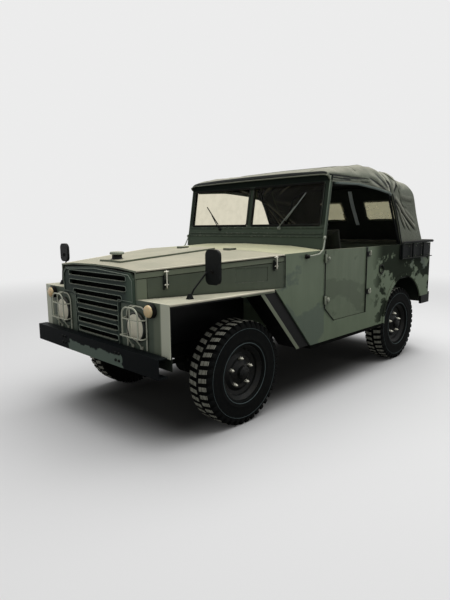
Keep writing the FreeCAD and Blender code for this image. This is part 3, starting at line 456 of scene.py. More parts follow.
@node_group("tone", [("Color", (0.1, 0.1, 0.1, 1)), ("Strength", 0.3)], [("Color", "Color")])
def tone(t, colour, strength):
    """A colour with slow clouds, streaks that run down and fine mottling."""
    slow = t.ramp(t.noise(t.place(), 1.7, 4.0, 0.55), 0.3, 0.7)
    streak = t.ramp(t.noise(t.stretched((9.0, 9.0, 1.2)), 1.6, 4.0, 0.6), 0.35, 0.7)
    dark = t.mix(1.0, colour, (0.62, 0.64, 0.62, 1), "MULTIPLY")
    clouded = t.mix(slow * strength, colour, dark)
    streaked = t.mix(streak * (strength * 0.6), clouded, dark)
    return [t.mix(t.noise(t.place(), 90.0, 2.0) * 0.12, streaked, (0.5, 0.5, 0.45, 1), "OVERLAY")]


@node_group("grain", [("Scale", 300.0), ("Dents", 0.3)], [("Height", "Float")])
def grain(t, scale, dents):
    """Height of a fine surface grain with broader dents."""
    return [t.noise(t.place(), scale, 4.0, 0.6) + t.noise(t.place(), 6.0, 2.0) * dents]


@node_group("weave", [("Threads", 600.0)], [("Height", "Float"), ("Gaps", "Float")])
def weave(t, threads):
    """Crossing threads: their height, and a mask of the gaps between them."""
    waves = [abs(t.math("SINE", axis * threads)) for axis in t.axes()]
    facing = t.axes("Normal")
    height = (waves[1] * waves[2] * (facing[0] * facing[0]) + waves[2] * waves[0] * (facing[1] * facing[1])
              + waves[0] * waves[1] * (facing[2] * facing[2]))
    return height + t.noise(t.place(), 120.0, 3.0) * 0.4, t.ramp(height, 0.45, 0.1)


# ---- finishes -----------------------------------------------------------------------------------
# Faces that look up turn towards this pale colour: sun bleach together with painted top light.
bare_steel, bleached_and_lit = rgb(150, 150, 142), rgb(186, 180, 158)


def new_material(name):
    material = bpy.data.materials.new(name)
    material.use_nodes = True
    t = Tree(material.node_tree)
    shader = t.node("BsdfPrincipled")
    t.node("OutputMaterial", Surface=Wire(t, shader.outputs[0]))
    return material, t, shader


def painted(name, colour, top=0.6, low=0.4, wear=0.6, rough=0.5, edge=bare_steel, strength=0.35,
            specular=0.2, height=0.6, faded_and_lit=bleached_and_lit, grime=0.8, width=0.003, layers=()):
    """Service paint on sheet metal: clouded, lighter on top with dust, sun bleach and painted top light,
    rubbed at the edges, dirty low down, with painted shade in corners.

    Each layer is (mask, colour, matt): a mask worked out from x, y and z, over what lies below it.
    """
    material, t, shader = new_material(name)
    edges = t.group(rounded_edges, Width=width, Wear=wear)
    dirt = t.group(dust, Top=top, Low=low, Height=height)
    base = t.group(tone, Color=colour, Strength=strength)["Color"]
    # painted light: faces that look up turn lighter, for dust and sun bleach and for the light that falls
    # on them
    base = t.mix(dirt["Top Mask"], base, faded_and_lit)
    base = t.mix(dirt["Low Mask"], base, rgb(124, 116, 96))
    # painted shade: corners and the ground round fittings darkened, together with the dirt that lies there
    if grime:
        base = t.mix(t.group(crevice, Distance=0.022)["Mask"] * grime, base, rgb(16, 20, 17))
    base = t.mix(edges["Mask"], base, edge)
    cover = t.most(dirt["Top Mask"], dirt["Low Mask"])
    roughness = t.ramp(cover, 0.0, 1.0, rough, min(rough + 0.25, 0.95), smooth=False)
    for mask_of, layer, matt in layers:
        mask = mask_of(t, *t.axes())
        base = t.mix(mask, base, layer)
        if matt:
            roughness = roughness * (1.0 - mask) + mask * 0.97
    relief = t.group(grain, Scale=420.0, Dents=0.25)["Height"]
    t.fill(shader, Base_Color=base, Roughness=roughness, Specular_IOR_Level=specular,
           Normal=t.bump(relief, 0.18, 0.004, Normal=edges["Normal"]))
    return material


def canvas_cloth(name, colour, top=0.8, threads=1900.0):
    """Waxed canvas: woven, lighter on top with sun bleach and painted top light, with painted highlights
    on the ridges and painted shade in the folds.
    """
    material, t, shader = new_material(name)
    cloth = t.group(weave, Threads=threads)
    base = t.group(tone, Color=colour, Strength=0.45)["Color"]
    # painted top light, with sun bleach, on faces that look up
    base = t.mix(t.group(dust, Top=top, Low=0.0)["Top Mask"], base, rgb(180, 177, 160))
    base = t.mix(cloth["Gaps"] * 0.35, base, (0.02, 0.022, 0.018, 1))
    # painted highlight on the ridges of the folds
    base = t.mix(t.attribute("ridge") * 0.7, base, rgb(186, 186, 170))
    # painted shade in the creases of the folds
    base = t.mix(t.ramp(t.attribute("crease"), 0.05, 0.55), base, rgb(14, 19, 15))
    t.fill(shader, Base_Color=base, Roughness=0.92, Specular_IOR_Level=0.15, Sheen_Weight=0.12,
           Normal=t.bump(cloth["Height"], 0.5, 0.0012))
    return material


def rubber(name, colour, dusty=0.3, rough=0.86):
    """Tyre and seal rubber with a bloom of dust."""
    material, t, shader = new_material(name)
    worn = t.ramp(t.noise(t.place(), 30.0, 5.0, 0.65), 0.42, 0.66)
    base = t.mix(worn * dusty, t.group(tone, Color=colour, Strength=0.5)["Color"], rgb(96, 92, 80))
    t.fill(shader, Base_Color=base, Roughness=rough, Specular_IOR_Level=0.1,
           Normal=t.bump(t.group(grain, Scale=700.0, Dents=0.1)["Height"], 0.25, 0.001))
    return material


def metal(name, colour, rough=0.35, grime=0.3):
    """Bare or plated metal with grime in its hollows."""
    material, t, shader = new_material(name)
    dirty = t.ramp(t.noise(t.place(), 45.0, 5.0, 0.7), 0.45, 0.75)
    base = t.mix(dirty * grime, t.group(tone, Color=colour, Strength=0.3)["Color"], rgb(48, 44, 36))
    t.fill(shader, Base_Color=base, Metallic=1.0,
           Roughness=t.ramp(dirty, 0.0, 1.0, rough, min(rough + 0.3, 0.95), smooth=False),
           Normal=t.group(rounded_edges, Width=0.0015, Wear=0.4)["Normal"])
    return material


def clear(name, colour, rough=0.05, transmission=1.0, ior=1.45, haze=0.0):
    """Glass or clear sheet with a thin film of dust."""
    material, t, shader = new_material(name)
    film = t.ramp(t.noise(t.place(), 9.0, 6.0, 0.65), 0.35, 0.75, rough, rough + haze)
    dirt = t.ramp(t.noise(t.place(), 14.0, 4.0), 0.35, 0.75, 0.0, 0.18)
    t.fill(shader, Base_Color=t.mix(dirt, colour, rgb(170, 168, 150)), Roughness=film,
           Transmission_Weight=transmission, IOR=ior)
    return material


def lens_plastic(name, colour):
    """Moulded lamp lens with fine rings."""
    material, t, shader = new_material(name)
    reach = t.out("Value", "VectorMath", {"operation": "LENGTH"}, t.place())
    base = t.mix(t.noise(t.place(), 30.0, 4.0) * 0.35, colour, rgb(150, 140, 112))
    t.fill(shader, Base_Color=base, Roughness=0.22, Subsurface_Weight=0.15,
           Normal=t.bump(abs(t.math("SINE", reach * 900.0)), 0.15, 0.001))
    return material


def row(y):
    """A distance behind the front axle in millimetres, as a place along the frame in metres."""
    return front_axle + y * MM


# The masks: each works out how much of a layer lies at a place on the car.
def broad_patches(scale, share, amount, limit=None):
    """Broad, sharp-edged patches of a darker tone, below a height if one is given."""
    def mask(t, x, y, z):
        spot = t.group(patches, Scale=scale, Share=share)["Mask"]
        return (spot if limit is None else spot * (z < limit)) * amount
    return mask


lamp_panel_half = 0.742                         # in metres, to its outer edge, where the painted highlight begins


# painted shade: the wing's front round the lamps darker, as the front lies in shade
def lamp_panel_shade(t, x, y, z):
    wide = abs(x)
    inner = t.ramp(wide, lamp_panel_half, 0.735, 0.0, 0.5) + t.ramp(wide, 0.69, 0.66, 0.0, 0.5)
    return inner * (y < row(nose_y + front_depth)) * (z < (wing_z - 4) * MM) * 0.75


# painted highlight: a light strip on the outer edge of the wing's front
def lamp_panel_highlight(t, x, y, z):
    return t.ramp(abs(x), lamp_panel_half, 0.754) * (y < row(nose_y + front_depth)) * 0.8


def under_wing(t, x, y, z):
    return (abs(x) < (wing_half - 14) * MM) * (z < (wing_z - 6) * MM) * (y > row(nose_y + front_depth))


# painted shade: dark, matt patches on the outer side, from ahead of the rear wheel backwards
def shade_towards_rear_wheel(t, x, y, z):
    spot = t.group(patches, Scale=3.1, Share=0.60)["Mask"]
    outer = abs(x) > (body_half - 12) * MM
    return spot * t.ramp(y, front_axle + 1.66, front_axle + 1.95) * (outer * 0.94)


# painted shade: the inside of the tub near black
def shade_inside_tub(t, x, y, z):
    return (abs(x) < (body_half - 14) * MM) * (y < row(body_rear - 26))


# painted shade: the windscreen's header, its sides and the middle post darkened and matt
def screen_rim_shade(t, x, y, z):
    wide = abs(x)
    side = t.ramp(wide, 0.802, 0.808) * (wide < 0.846) * t.ramp(z, *glass_z)
    post = t.ramp(wide, 0.024, 0.020) * t.ramp(z, *glass_z)
    header = t.ramp(z, 1.806, 1.822)
    return t.most(header, t.most(side, post * 0.6) * 0.7) * 0.95


# painted light: the left edge of the nose lighter, as light falls on it
def nose_left_lit(t, x, y, z):
    return t.ramp(x, 0.34, 0.46, 0.0, 0.6)


def nose_returns(t, x, y, z):
    return abs(x) > 0.4865


# painted reflection: a lighter, ragged patch on the lower middle of the bumper's face
def reflection_on_middle(t, x, y, z):
    off_centre, half, top = 0.085, 0.352, 0.612
    ragged = (t.noise(t.place(), 13.0, 5.0) - 0.5) * 0.42
    middle = t.ramp(abs(x - off_centre) + ragged, half, half - 0.012)
    lower = t.ramp(z + ragged * 0.2, top, top - 0.012)
    return middle * lower * ((y < row(nose_y - 60)) * 0.9)


body_green, worn = rgb(108, 121, 100), rgb(176, 178, 162)
bonnet_green = rgb(112, 120, 102)
black_seal, dark_steel = rgb(10, 11, 11), rgb(84, 90, 86)

# The first number after each colour (Top) is how much painted top light, with dust and sun bleach, the
# faces that look up take.
olive = painted("olive_body_paint", body_green, 0.85, 0.2, 0.8, 0.42, worn)
# painted shade round the lamps and a painted highlight on the outer strip of the wing's front; the
# underside is black underseal
wing_olive = painted("wing_paint", rgb(122, 129, 110), 0.97, 0.25, 0.9, 0.42, worn,
                     faded_and_lit=rgb(200, 196, 174), layers=[(lamp_panel_shade, rgb(54, 68, 60), False),
                                                       (lamp_panel_highlight, rgb(206, 209, 190), False),
                                                       (under_wing, black_seal, False)])
tub_olive = painted("tub_paint", body_green, 0.6, 0.22, 0.7, 0.5, worn, specular=0.1,
                    layers=[(broad_patches(1.5, 0.50, 0.75), rgb(78, 90, 82), False),
                            # painted shade towards the rear wheel
                            (shade_towards_rear_wheel, rgb(24, 30, 22), True),
                            # painted shade inside the tub
                            (shade_inside_tub, rgb(15, 18, 15), False)])
door_olive = painted("door_paint", rgb(102, 114, 93), 0.5, 0.2, 0.8, 0.42, worn, 0.6,
                     layers=[(broad_patches(1.9, 0.5, 0.7, 1.3), rgb(78, 88, 70), False)])
bonnet_olive = painted("bonnet_paint", bonnet_green, 0.92, 0.0, 0.8, 0.42, worn)
# painted shade: the bonnet's sides a darker copy of the bonnet's paint
bonnet_side_shaded = painted("bonnet_side_paint", rgb(86, 94, 80), 0.92, 0.0, 0.8, 0.42,
                            worn, 0.6)
cowl_olive = painted("cowl_paint", body_green, 0.95, 0.2, 0.8, 0.42, worn,
                     faded_and_lit=rgb(196, 194, 160),
                     layers=[(broad_patches(1.9, 0.5, 0.7, 1.225), rgb(82, 94, 84), False)])
# painted shade on the header, sides and post of the windscreen frame
screen_green = painted("windscreen_paint", rgb(66, 77, 65), 0.5, 0.0, 1.2, 0.45, worn,
                       width=0.004, specular=0.1, layers=[(screen_rim_shade, rgb(18, 24, 21), True)])
# painted shade: the nose darker than the body's paint, as the front lies in shade; a painted light on its
# left edge, and the returns in the bonnet's colour
nose_shade_green = painted("nose_paint", rgb(46, 58, 53), 0.4, 0.1, 1.3, 0.5,
                     rgb(122, 132, 118), width=0.0035, specular=0.1,
                     layers=[(nose_left_lit, rgb(88, 106, 90), False), (nose_returns, bonnet_green, False)])
guard_green = painted("guard_paint", rgb(186, 189, 172), 0.5, 0.1, 0.7, 0.4)
black = painted("black_paint", rgb(14, 17, 17), 0.05, 0.03, 0.5, 0.5, dark_steel,
                specular=0.12)
# painted reflection on the middle of the bumper's face
bumper_black = painted("bumper_paint", rgb(15, 19, 21), 0.0, 0.03, 0.7, 0.5,
                       rgb(70, 80, 82), 0.5, specular=0.05,
                       layers=[(reflection_on_middle, rgb(102, 116, 106), False)])
rack_black = painted("rack_paint", rgb(16, 20, 19), 0.1, 0.0, 0.7, 0.5,
                     rgb(96, 102, 96), specular=0.06)
under_black = painted("underside_black", rgb(12, 14, 13), 0.05, 0.06, 0.15, 0.8,
                      rgb(50, 52, 48), specular=0.05)
# painted shade: the cabin's floor and the splash aprons a dark copy of the green
cabin_shade_green = painted("cabin_paint", rgb(34, 40, 33), 0.2, 0.0, 0.4, 0.6)
wheel_black = painted("wheel_paint", rgb(11, 13, 13), 0.0, 0.05, 0.9, 0.45,
                      rgb(120, 128, 124), specular=0.18, height=0.9)
cast = painted("cast_metal", rgb(44, 44, 40), 0.2, 0.1, 0.3, 0.7, specular=0.15)
# painted highlight along the grille's slot edges and bead
slot_highlight = painted("slot_edge_paint", rgb(146, 158, 146), 0.9, 0.0, 1.0, 0.5,
                     rgb(168, 176, 162), 0.9, grime=0.0, faded_and_lit=rgb(188, 194, 180))
# painted highlight along the rolled edges of the bonnet and the wings
edge_highlight = painted("light_edge_paint", rgb(204, 200, 180), 0.9, 0.0, 1.0, 0.5,
                     rgb(214, 208, 186), grime=0.0, faded_and_lit=rgb(240, 232, 210))
# painted highlight along the windscreen frame's edges
green_edge_highlight = painted("green_edge_paint", rgb(104, 116, 102), 0.5, 0.0, 1.0, 0.5,
                     grime=0.0)
hinge_green = painted("hinge_paint", rgb(144, 150, 134), 0.5, 0.1, 0.7, 0.4)
rod_green = painted("rod_paint", rgb(166, 172, 158), 0.6, 0.0, 0.8, 0.35, grime=0.3)
# painted light: the left wiper a lit grey copy of the black wiper
wiper_lit_grey = painted("wiper_paint", rgb(132, 138, 132), 0.0, 0.0, 0.8, 0.4, grime=0.0)
cap_green = painted("cap_paint", rgb(160, 168, 154), 0.8, 0.0, 0.8, 0.4)
rim_green = painted("lamp_rim_paint", rgb(24, 31, 27), 0.2, 0.1, 1.0, 0.35,
                    rgb(130, 138, 126), specular=0.3)

tyre_rubber = rubber("tyre_rubber", rgb(10, 12, 12), 0.02)
# dust, and painted light where light falls on the tips of the tread
tread_dust_and_light = rubber("tread_tips", rgb(172, 172, 160), 0.4)
# painted highlight: light grey rings on the tyre's sidewall
sidewall_highlight_grey = rubber("sidewall_rib", rgb(84, 96, 98), 0.2)
seal_rubber = rubber("seal_rubber", rgb(11, 12, 11), 0.08, 0.7)
black_plastic = rubber("black_plastic", rgb(13, 14, 14), 0.05, 0.5)

top_canvas = canvas_cloth("top_canvas", rgb(104, 109, 94))
# painted shade: the canvas's inside darker than its outside
lining_canvas_shaded = canvas_cloth("canvas_lining", rgb(40, 45, 38), 0.0)
# painted light: the rolled sides lighter than the canvas, in the shade under the eaves
roll_canvas = canvas_cloth("roll_canvas", rgb(112, 124, 120), 0.5)
# painted light: the strap inside the back much lighter than canvas, though it hangs in shade
strap_canvas_lit = canvas_cloth("strap_webbing", rgb(226, 238, 236), 0.2)
dark_canvas = canvas_cloth("dark_canvas", rgb(26, 31, 30), 0.1)
# painted shade: the seats' covers near black, as the cabin lies in shade
seat_cloth_shaded = canvas_cloth("seat_cover", rgb(38, 42, 32), 0.12, 1300.0)

chrome = metal("lamp_chrome", rgb(200, 200, 192), 0.16, 0.2)
bright_steel = metal("bright_steel", rgb(206, 204, 190), 0.3, 0.2)
reflector = metal("lamp_reflector", rgb(214, 212, 200), 0.12, 0.06)
mirror_silver = metal("mirror_silver", rgb(226, 228, 226), 0.03, 0.03)

screen_glass = clear("screen_glass", rgb(234, 228, 206), 0.0, ior=1.12, haze=0.02)
pane_sheet = clear("window_sheet", rgb(196, 192, 160), 0.25, 0.75, haze=0.2)
lens_glass = clear("lens_glass", rgb(250, 246, 226), 0.3, 0.25, 1.3, 0.2)
amber = lens_plastic("amber_lens", rgb(228, 200, 152))
red = lens_plastic("red_lens", rgb(120, 24, 20))

finish_of = {
    "olive_paint": olive, "nose_paint": nose_shade_green, "guard_paint": guard_green,
    "black_paint": black, "wheel_paint": wheel_black, "black_plastic": black_plastic,
    "cast_metal": cast, "tyre": tyre_rubber, "canvas": top_canvas, "seat_cover": seat_cloth_shaded,
    "lamp_chrome": chrome, "amber_lens": chrome, "glass": screen_glass,
}
own_finish = {
    "front_wings": wing_olive, "body_sides": tub_olive, "door_left": door_olive, "door_right": door_olive,
    "bonnet": bonnet_olive, "bonnet_sides": bonnet_side_shaded, "cowl": cowl_olive,
    "windscreen_frame": screen_green, "front_bumper": bumper_black, "stowage_racks": rack_black,
    "body_floor": cabin_shade_green, "chassis_frame": under_black, "front_axle": under_black,
    "rear_axle": under_black, "springs": under_black, "dampers": under_black,
    "fuel_tank": under_black, "radiator": under_black,
}
for node_name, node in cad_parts.items():
    slots = node.data.materials
    for i, made in enumerate(slots):
        slots[i] = finish_of[made.name.split(".")[0]]
    if node_name in own_finish:
        slots[0] = own_finish[node_name]


# ---- wheels -------------------------------------------------------------------------------------
lug_count = 40
carcass_half = (                                # across, radius
    (78, 205), (90, 214), (96, 232), (98, 244), (100, 250), (98, 256), (99, 290), (99, 318),
    (97, 330), (97, 336), (94, 348), (86, 362), (74, 370), (40, 373), (0, 374))
centre_rib = ((-9, 370), (-8, 386), (8, 386), (9, 370))
lug_stations = (
    # across, top radius, foot radius, half length along the tread
    (10.0, 387.5, 370.0, 19.0),
    (42.0, 388.0, 370.0, 18.5),
    (78.0, 387.6, 366.0, 18.0),
    (88.0, 384.0, 358.0, 17.5),
    (97.0, 362.0, 344.0, 15.0),
    (99.0, 344.0, 336.0, 11.0),
)
stud_circle, nut_seat, hub_face = 104.0, 42.5, 93.0
sidewall_rings = ((225.0, 94.0, 3.2), (331.0, 98.0, 1.7))       # radius, place across, thickness


def on_wheel(centre, out, radius, angle):
    return centre + Vector((out, radius * math.sin(angle), radius * math.cos(angle)))


def tread_block(bm, centre, hand, at):
    """One slanted block from the centre rib over the shoulder."""
    rings = []
    for over, top, foot, half in lug_stations:
        corners = ((foot, -1.12), (top, -0.94), (top, 0.94), (foot, 1.12))
        rings.append([bm.verts.new(on_wheel(centre, hand * over, radius,
                                            at + 0.00042 * over + half * draft / 380.0))
                      for radius, draft in corners])
    faces = skin(bm, rings, ends=True)
    # the tops of the blocks take the tips' finish of dust and painted light
    for face in faces[1:12:4]:
        face.material_index = 1
    tops = [ring[j] for ring in rings for j in (1, 2)]
    soften(bm, [e for f in faces for e in f.edges if all(v in tops for v in e.verts)], 1.8, 1)


def tyre(place, side, centre):
    """Carcass with a centre rib and staggered blocks that wrap over the shoulders."""
    bm = bmesh.new()
    outline = [(-x, r) for x, r in carcass_half] + [(x, r) for x, r in carcass_half[-2::-1]]
    skin(bm, [[bm.verts.new(on_wheel(centre, x, r, a)) for x, r in outline] for a in circle(96)], True)
    pitch = 2 * math.pi / lug_count
    for hand in (-1, 1):
        for i in range(lug_count):
            tread_block(bm, centre, hand, -pitch * (i + 0.5 + 0.25 * hand * side))
    rings = []
    for i in range(lug_count * 4):
        sway = 4.0 * side * math.cos(math.pi * i / 2)
        rings.append([bm.verts.new(on_wheel(centre, x + sway, r, -pitch * (i + 1) / 4))
                      for x, r in centre_rib])
    skin(bm, rings, True)
    bmesh.ops.recalc_face_normals(bm, faces=bm.faces)
    piece = finish_piece("tyre_tread_" + place, bm, tyre_rubber, "wheel_" + place, 28.0, ["tyre_" + place])
    piece.data.materials.append(tread_dust_and_light)


def wheel_trim(place, side, centre):
    """Wheel nuts on their studs, the hub's flange bolts, the valve and the sidewall's ribs, which carry a
    painted highlight.
    """
    body, out = "wheel_" + place, Vector((side, 0, 0))
    with drawn("wheel_nuts_" + place, bright_steel, body) as bm:
        for a in circle(5):
            p = on_wheel(centre, side * nut_seat, stud_circle, a)
            turned(bm, p, out, [(0, 17), (3, 17), (8, 13)], 20)
            turned(bm, p + out * 6, out, [(0, 13.5), (14, 13.5), (18, 10.5), (19, 0)], 6)
            turned(bm, p + out * 22, out, [(0, 7), (9, 7), (11, 4), (11.5, 0)], 12)
    with drawn("hub_cap_" + place, wheel_black, body) as bm:
        hub = centre + out * hub_face
        turned(bm, hub, out, [(-6, 44), (0, 44), (2.4, 42), (2.4, 30), (4, 28), (4.6, 0)])
        for a in circle(6, math.radians(30)):
            bolt(bm, on_wheel(hub, side * 1.5, 35, a), out, 4.6, 4)
        rod(bm, centre + Vector((side * 52, 30, 170)), centre + Vector((side * 84, 30, 168)), 4)
    # painted highlight rings on the sidewall
    with drawn("sidewall_rings_" + place, sidewall_highlight_grey, body, 50.0) as bm:
        for radius, over, thick in sidewall_rings:
            sweep(bm, [on_wheel(centre, side * over, radius, a) for a in circle(72)], disc(thick, 8), True)


for end, y in (("front_", 0.0), ("rear_", wheelbase)):
    for side, name in SIDES:
        wheel_centre = Vector((side * wheel_x, y, axle_z))
        tyre(end + name, side, wheel_centre)
        wheel_trim(end + name, side, wheel_centre)


# ---- canvas top ---------------------------------------------------------------------------------
canvas_rows = np.array([
    # y, half at the lower edge, half at the eave, eave z, half at the shoulder, shoulder z, middle z
    (948, 846, 848, 1862, 800, 1868, 1872),
    (962, 847, 849, 1878, 796, 1894, 1906),
    (1100, 847, 846, 1884, 772, 1930, 1946),
    (1450, 845, 839, 1884, 740, 1978, 1994),
    (1700, 843, 836, 1884, 728, 2006, 2020),
    (1860, 841, 834, 1876, 722, 2006, 2020),
    (2020, 838, 829, 1858, 716, 1984, 2002),
    (2080, 837, 826, 1852, 714, 1980, 1996),
    (2200, 833, 820, 1850, 709, 1982, 1998),
    (2320, 829, 814, 1840, 706, 1962, 1984),
    (2430, 825, 809, 1820, 703, 1924, 1950),
    (2500, 822, 805, 1812, 702, 1914, 1940),
    (2640, 816, 797, 1806, 700, 1908, 1930),
    (2705, 813, 792, 1794, 700, 1884, 1900),
    (2745, 811, 789, 1760, 700, 1826, 1838),
    (2780, 809, 787, 1706, 701, 1750, 1760),
    (2840, 806, 784, 1600, 702, 1650, 1656),
    (2960, 799, 774, 1424, 704, 1448, 1454),
    (3072, 792, 762, 1262, 706, 1268, 1270),
], float)
lower_line = np.array([                         # y and height of the canvas's lower edge
    (948, 1850), (962, 1832), (1000, 1812), (1100, 1814), (1450, 1824), (1800, 1800), (2080, 1768),
    (2125, 1745), (2200, 1620), (2290, 1450), (2376, 1252), (2420, 1238), (3030, 1238), (3072, 1258),
], float)
canopy_stations = [948, 953, 958, 963, 972, 985, 1000, 1020, *np.arange(1040, 1960, 20.0),
                   *np.arange(1960, 2700, 10.0), *np.arange(2700, 3068, 8.0), 3072.0]
canopy_points = 100                             # from the middle of the roof to the lower edge
back_y = 2600                                   # behind this the sheet is the car's back
cloth_thickness, pane_thickness = 0.003, 0.0015         # metres
window_inner, window_outer, window_low, window_high = 150, 510, 1512, 1726


def smooth_row(y):
    """The canopy's row of values at y, on smooth curves through the table."""
    ys = canvas_rows[:, 0]
    i = int(np.clip(np.searchsorted(ys, y) - 1, 0, len(ys) - 2))
    h = ys[i + 1] - ys[i]
    t = (y - ys[i]) / h
    slopes = np.diff(canvas_rows, axis=0) / np.diff(ys)[:, None]

    def slope(k):
        if k == 0 or k == len(ys) - 1:
            return slopes[min(k, len(slopes) - 1)]
        a, b = slopes[k - 1], slopes[k]
        same = (a * b) > 0
        return np.where(same, 2 * a * b / np.where(same, a + b, 1), 0.0)
    return ((2 * t ** 3 - 3 * t ** 2 + 1) * canvas_rows[i] + (t ** 3 - 2 * t ** 2 + t) * slope(i) * h
            + (-2 * t ** 3 + 3 * t ** 2) * canvas_rows[i + 1] + (t ** 3 - t ** 2) * slope(i + 1) * h)


def resample(points, count, crowd=0.0):
    """Points spread evenly along a line, or crowded towards its end."""
    lengths = np.concatenate([[0], np.cumsum(np.linalg.norm(np.diff(points, axis=0), axis=1))])
    u = np.linspace(0, 1, count)
    at = lengths[-1] * ((1 - crowd) * u + crowd * (1 - (1 - u) ** 2))
    return np.stack([np.interp(at, lengths, points[:, k]) for k in range(2)], axis=1)


def canopy_section(y):
    """Half section of the canopy from the middle of the roof down to its lower edge."""
    _, foot, eave, eave_z, shoulder, shoulder_z, middle_z = smooth_row(y)
    low = min(float(np.interp(y, *lower_line.T)), eave_z - 12)
    points = [(0, middle_z), (0.5 * shoulder, middle_z - 0.22 * (middle_z - shoulder_z)),
              (shoulder, shoulder_z), (eave, eave_z),
              (eave + (foot - eave) * min(1, (eave_z - low) / 600), low)]
    line = resample(np.array(points, float), 80)
    for _ in range(14):
        line[1:-1] = 0.5 * line[1:-1] + 0.25 * (line[:-2] + line[2:])
    return resample(line, canopy_points, 0.4)


def canopy_grid():
    """Points of the canopy, row by row: right lower edge over the roof to the left lower edge."""
    rows = []
    for y in canopy_stations:
        half = canopy_section(y)
        left = np.column_stack([half[:, 0], np.full(canopy_points, y), half[:, 1]])
        rows.append(np.vstack([left[:0:-1] * (-1, 1, 1), left]))
    return np.array(rows)


def grid_normals(grid):
    n = np.cross(np.gradient(grid, axis=1), np.gradient(grid, axis=0))
    n /= np.maximum(np.linalg.norm(n, axis=2, keepdims=True), 1e-9)
    flip = np.sign((n * (grid - np.array([0, 1900, 1500]))).sum(axis=2, keepdims=True))
    return n * np.where(flip == 0, 1, flip)


fold_corner = (2130.0, 1742.0)       # rear upper corner of the side opening, where the folds meet
quarter_folds = (
    # direction in degrees above the rearward level, its bend, half width, depth, from, to, darkness
    (-31.0, 3.0, 2.9, 16.0, 60, 760, 1.0),
    (-36.5, 1.0, 2.2, 9.0, 300, 640, 0.8),
    (-41.0, -2.0, 2.6, 13.0, 40, 520, 0.9),
    (-49.0, 0.0, 3.0, 8.0, 30, 300, 0.5),
    (-24.0, 0.0, 2.6, 8.0, 330, 700, 0.5),
    (-9.0, 4.0, 4.0, 8.0, 180, 560, 0.25),
    (18.0, 0.0, 5.0, 7.0, 130, 420, 0.2),
    (40.0, 2.0, 4.5, 12.0, 30, 330, 0.95),
    (78.0, 0.0, 7.0, 6.0, 50, 220, 0.3),
    (122.0, -6.0, 6.5, 14.0, 20, 330, 1.0),
    (147.0, 0.0, 6.0, 7.0, 90, 380, 0.45),
    (163.0, 0.0, 4.0, 7.0, 120, 520, 0.6),
)
valance_folds = (
    # from y, to y, height at each end, half height at each end, depth, darkness
    (962, 1700, 1866, 1868, 9.0, 2.0, 8.0, 1.0),
    (985, 1330, 1846, 1838, 4.0, 7.0, 7.0, 0.95),
    (1180, 1560, 1850, 1858, 5.0, 3.0, 6.0, 0.7),
    (1480, 1660, 1838, 1834, 3.0, 5.0, 5.0, 0.7),
    (1010, 1480, 1822, 1832, 3.0, 3.0, 2.0, 0.6),
    (1480, 2090, 1832, 1776, 3.0, 3.0, 2.0, 0.6),
)
bow_folds = (
    # y at a height, the height, lean, rise (below 0 is a crease), half width, shade, its half width
    (2052, 1980, 0.25, -11, 20, 0.75, 9),
    (2452, 1930, 0.90, -9, 17, 0.75, 8),
    (2110, 1980, 0.25, 6, 26, 0.8, 18),
    (2500, 1930, 0.90, 7, 22, 0.8, 16),
)
roof_bays = ((975, 1480), (1480, 2040), (2080, 2440), (2440, 2700))     # between what carries the roof
bay_sag, side_sag, back_sag, back_waves = 12, 8, 9, 4.5


def step(values, start, width):
    """0 before the start, 1 a width further on and straight between."""
    return np.clip((values - start) / width, 0, 1)


def dip(values, power=2):
    """1 at 0, falling away on both sides."""
    return np.exp(-(np.abs(values) ** power))


def fold_pattern(y, z, hand):
    """Depth of the cloth's folds, and how much painted shade lies in their creases and painted highlight
    on their ridges.
    """
    side = step(hand, 690, 60)
    depth, dark, light = np.zeros(y.shape), np.zeros(y.shape), np.zeros(y.shape)
    dy, dz = y - fold_corner[0], z - fold_corner[1]
    angle, reach = np.degrees(np.arctan2(dz, dy)), np.hypot(dy, dz)
    for at, bend, half, deep, start, end, shade in quarter_folds:
        off = (angle - at - bend * step(reach, start, end - start)) * np.maximum(reach, 60) / 260.0
        within = step(reach, start, 50) * step(-reach, -end, 70) * side
        lip = dip((off - 1.9 * half) / (1.2 * half)) * within
        depth += deep * (0.7 * lip - dip(off / half) * within)
        light = np.maximum(light, shade * lip ** 2)
        dark = np.maximum(dark, shade * dip(off / (0.62 * half), 4) * within)
    for y0, y1, z0, z1, half0, half1, deep, shade in valance_folds:
        t = (y - y0) / (y1 - y0)
        half = half0 + (half1 - half0) * np.clip(t, 0, 1)
        off = z - (z0 + (z1 - z0) * t)
        within = step(t, 0, 0.04) * step(-t, -1, 0.15) * step(hand, 800, 15)
        depth -= deep * dip(off / (1.3 * half)) * within
        dark = np.maximum(dark, shade * dip(off / half, 4) * within)
    front_edge = step(-y, -970, 8) * step(-hand, -830, 10)
    return depth, np.maximum(dark, 0.85 * front_edge), light


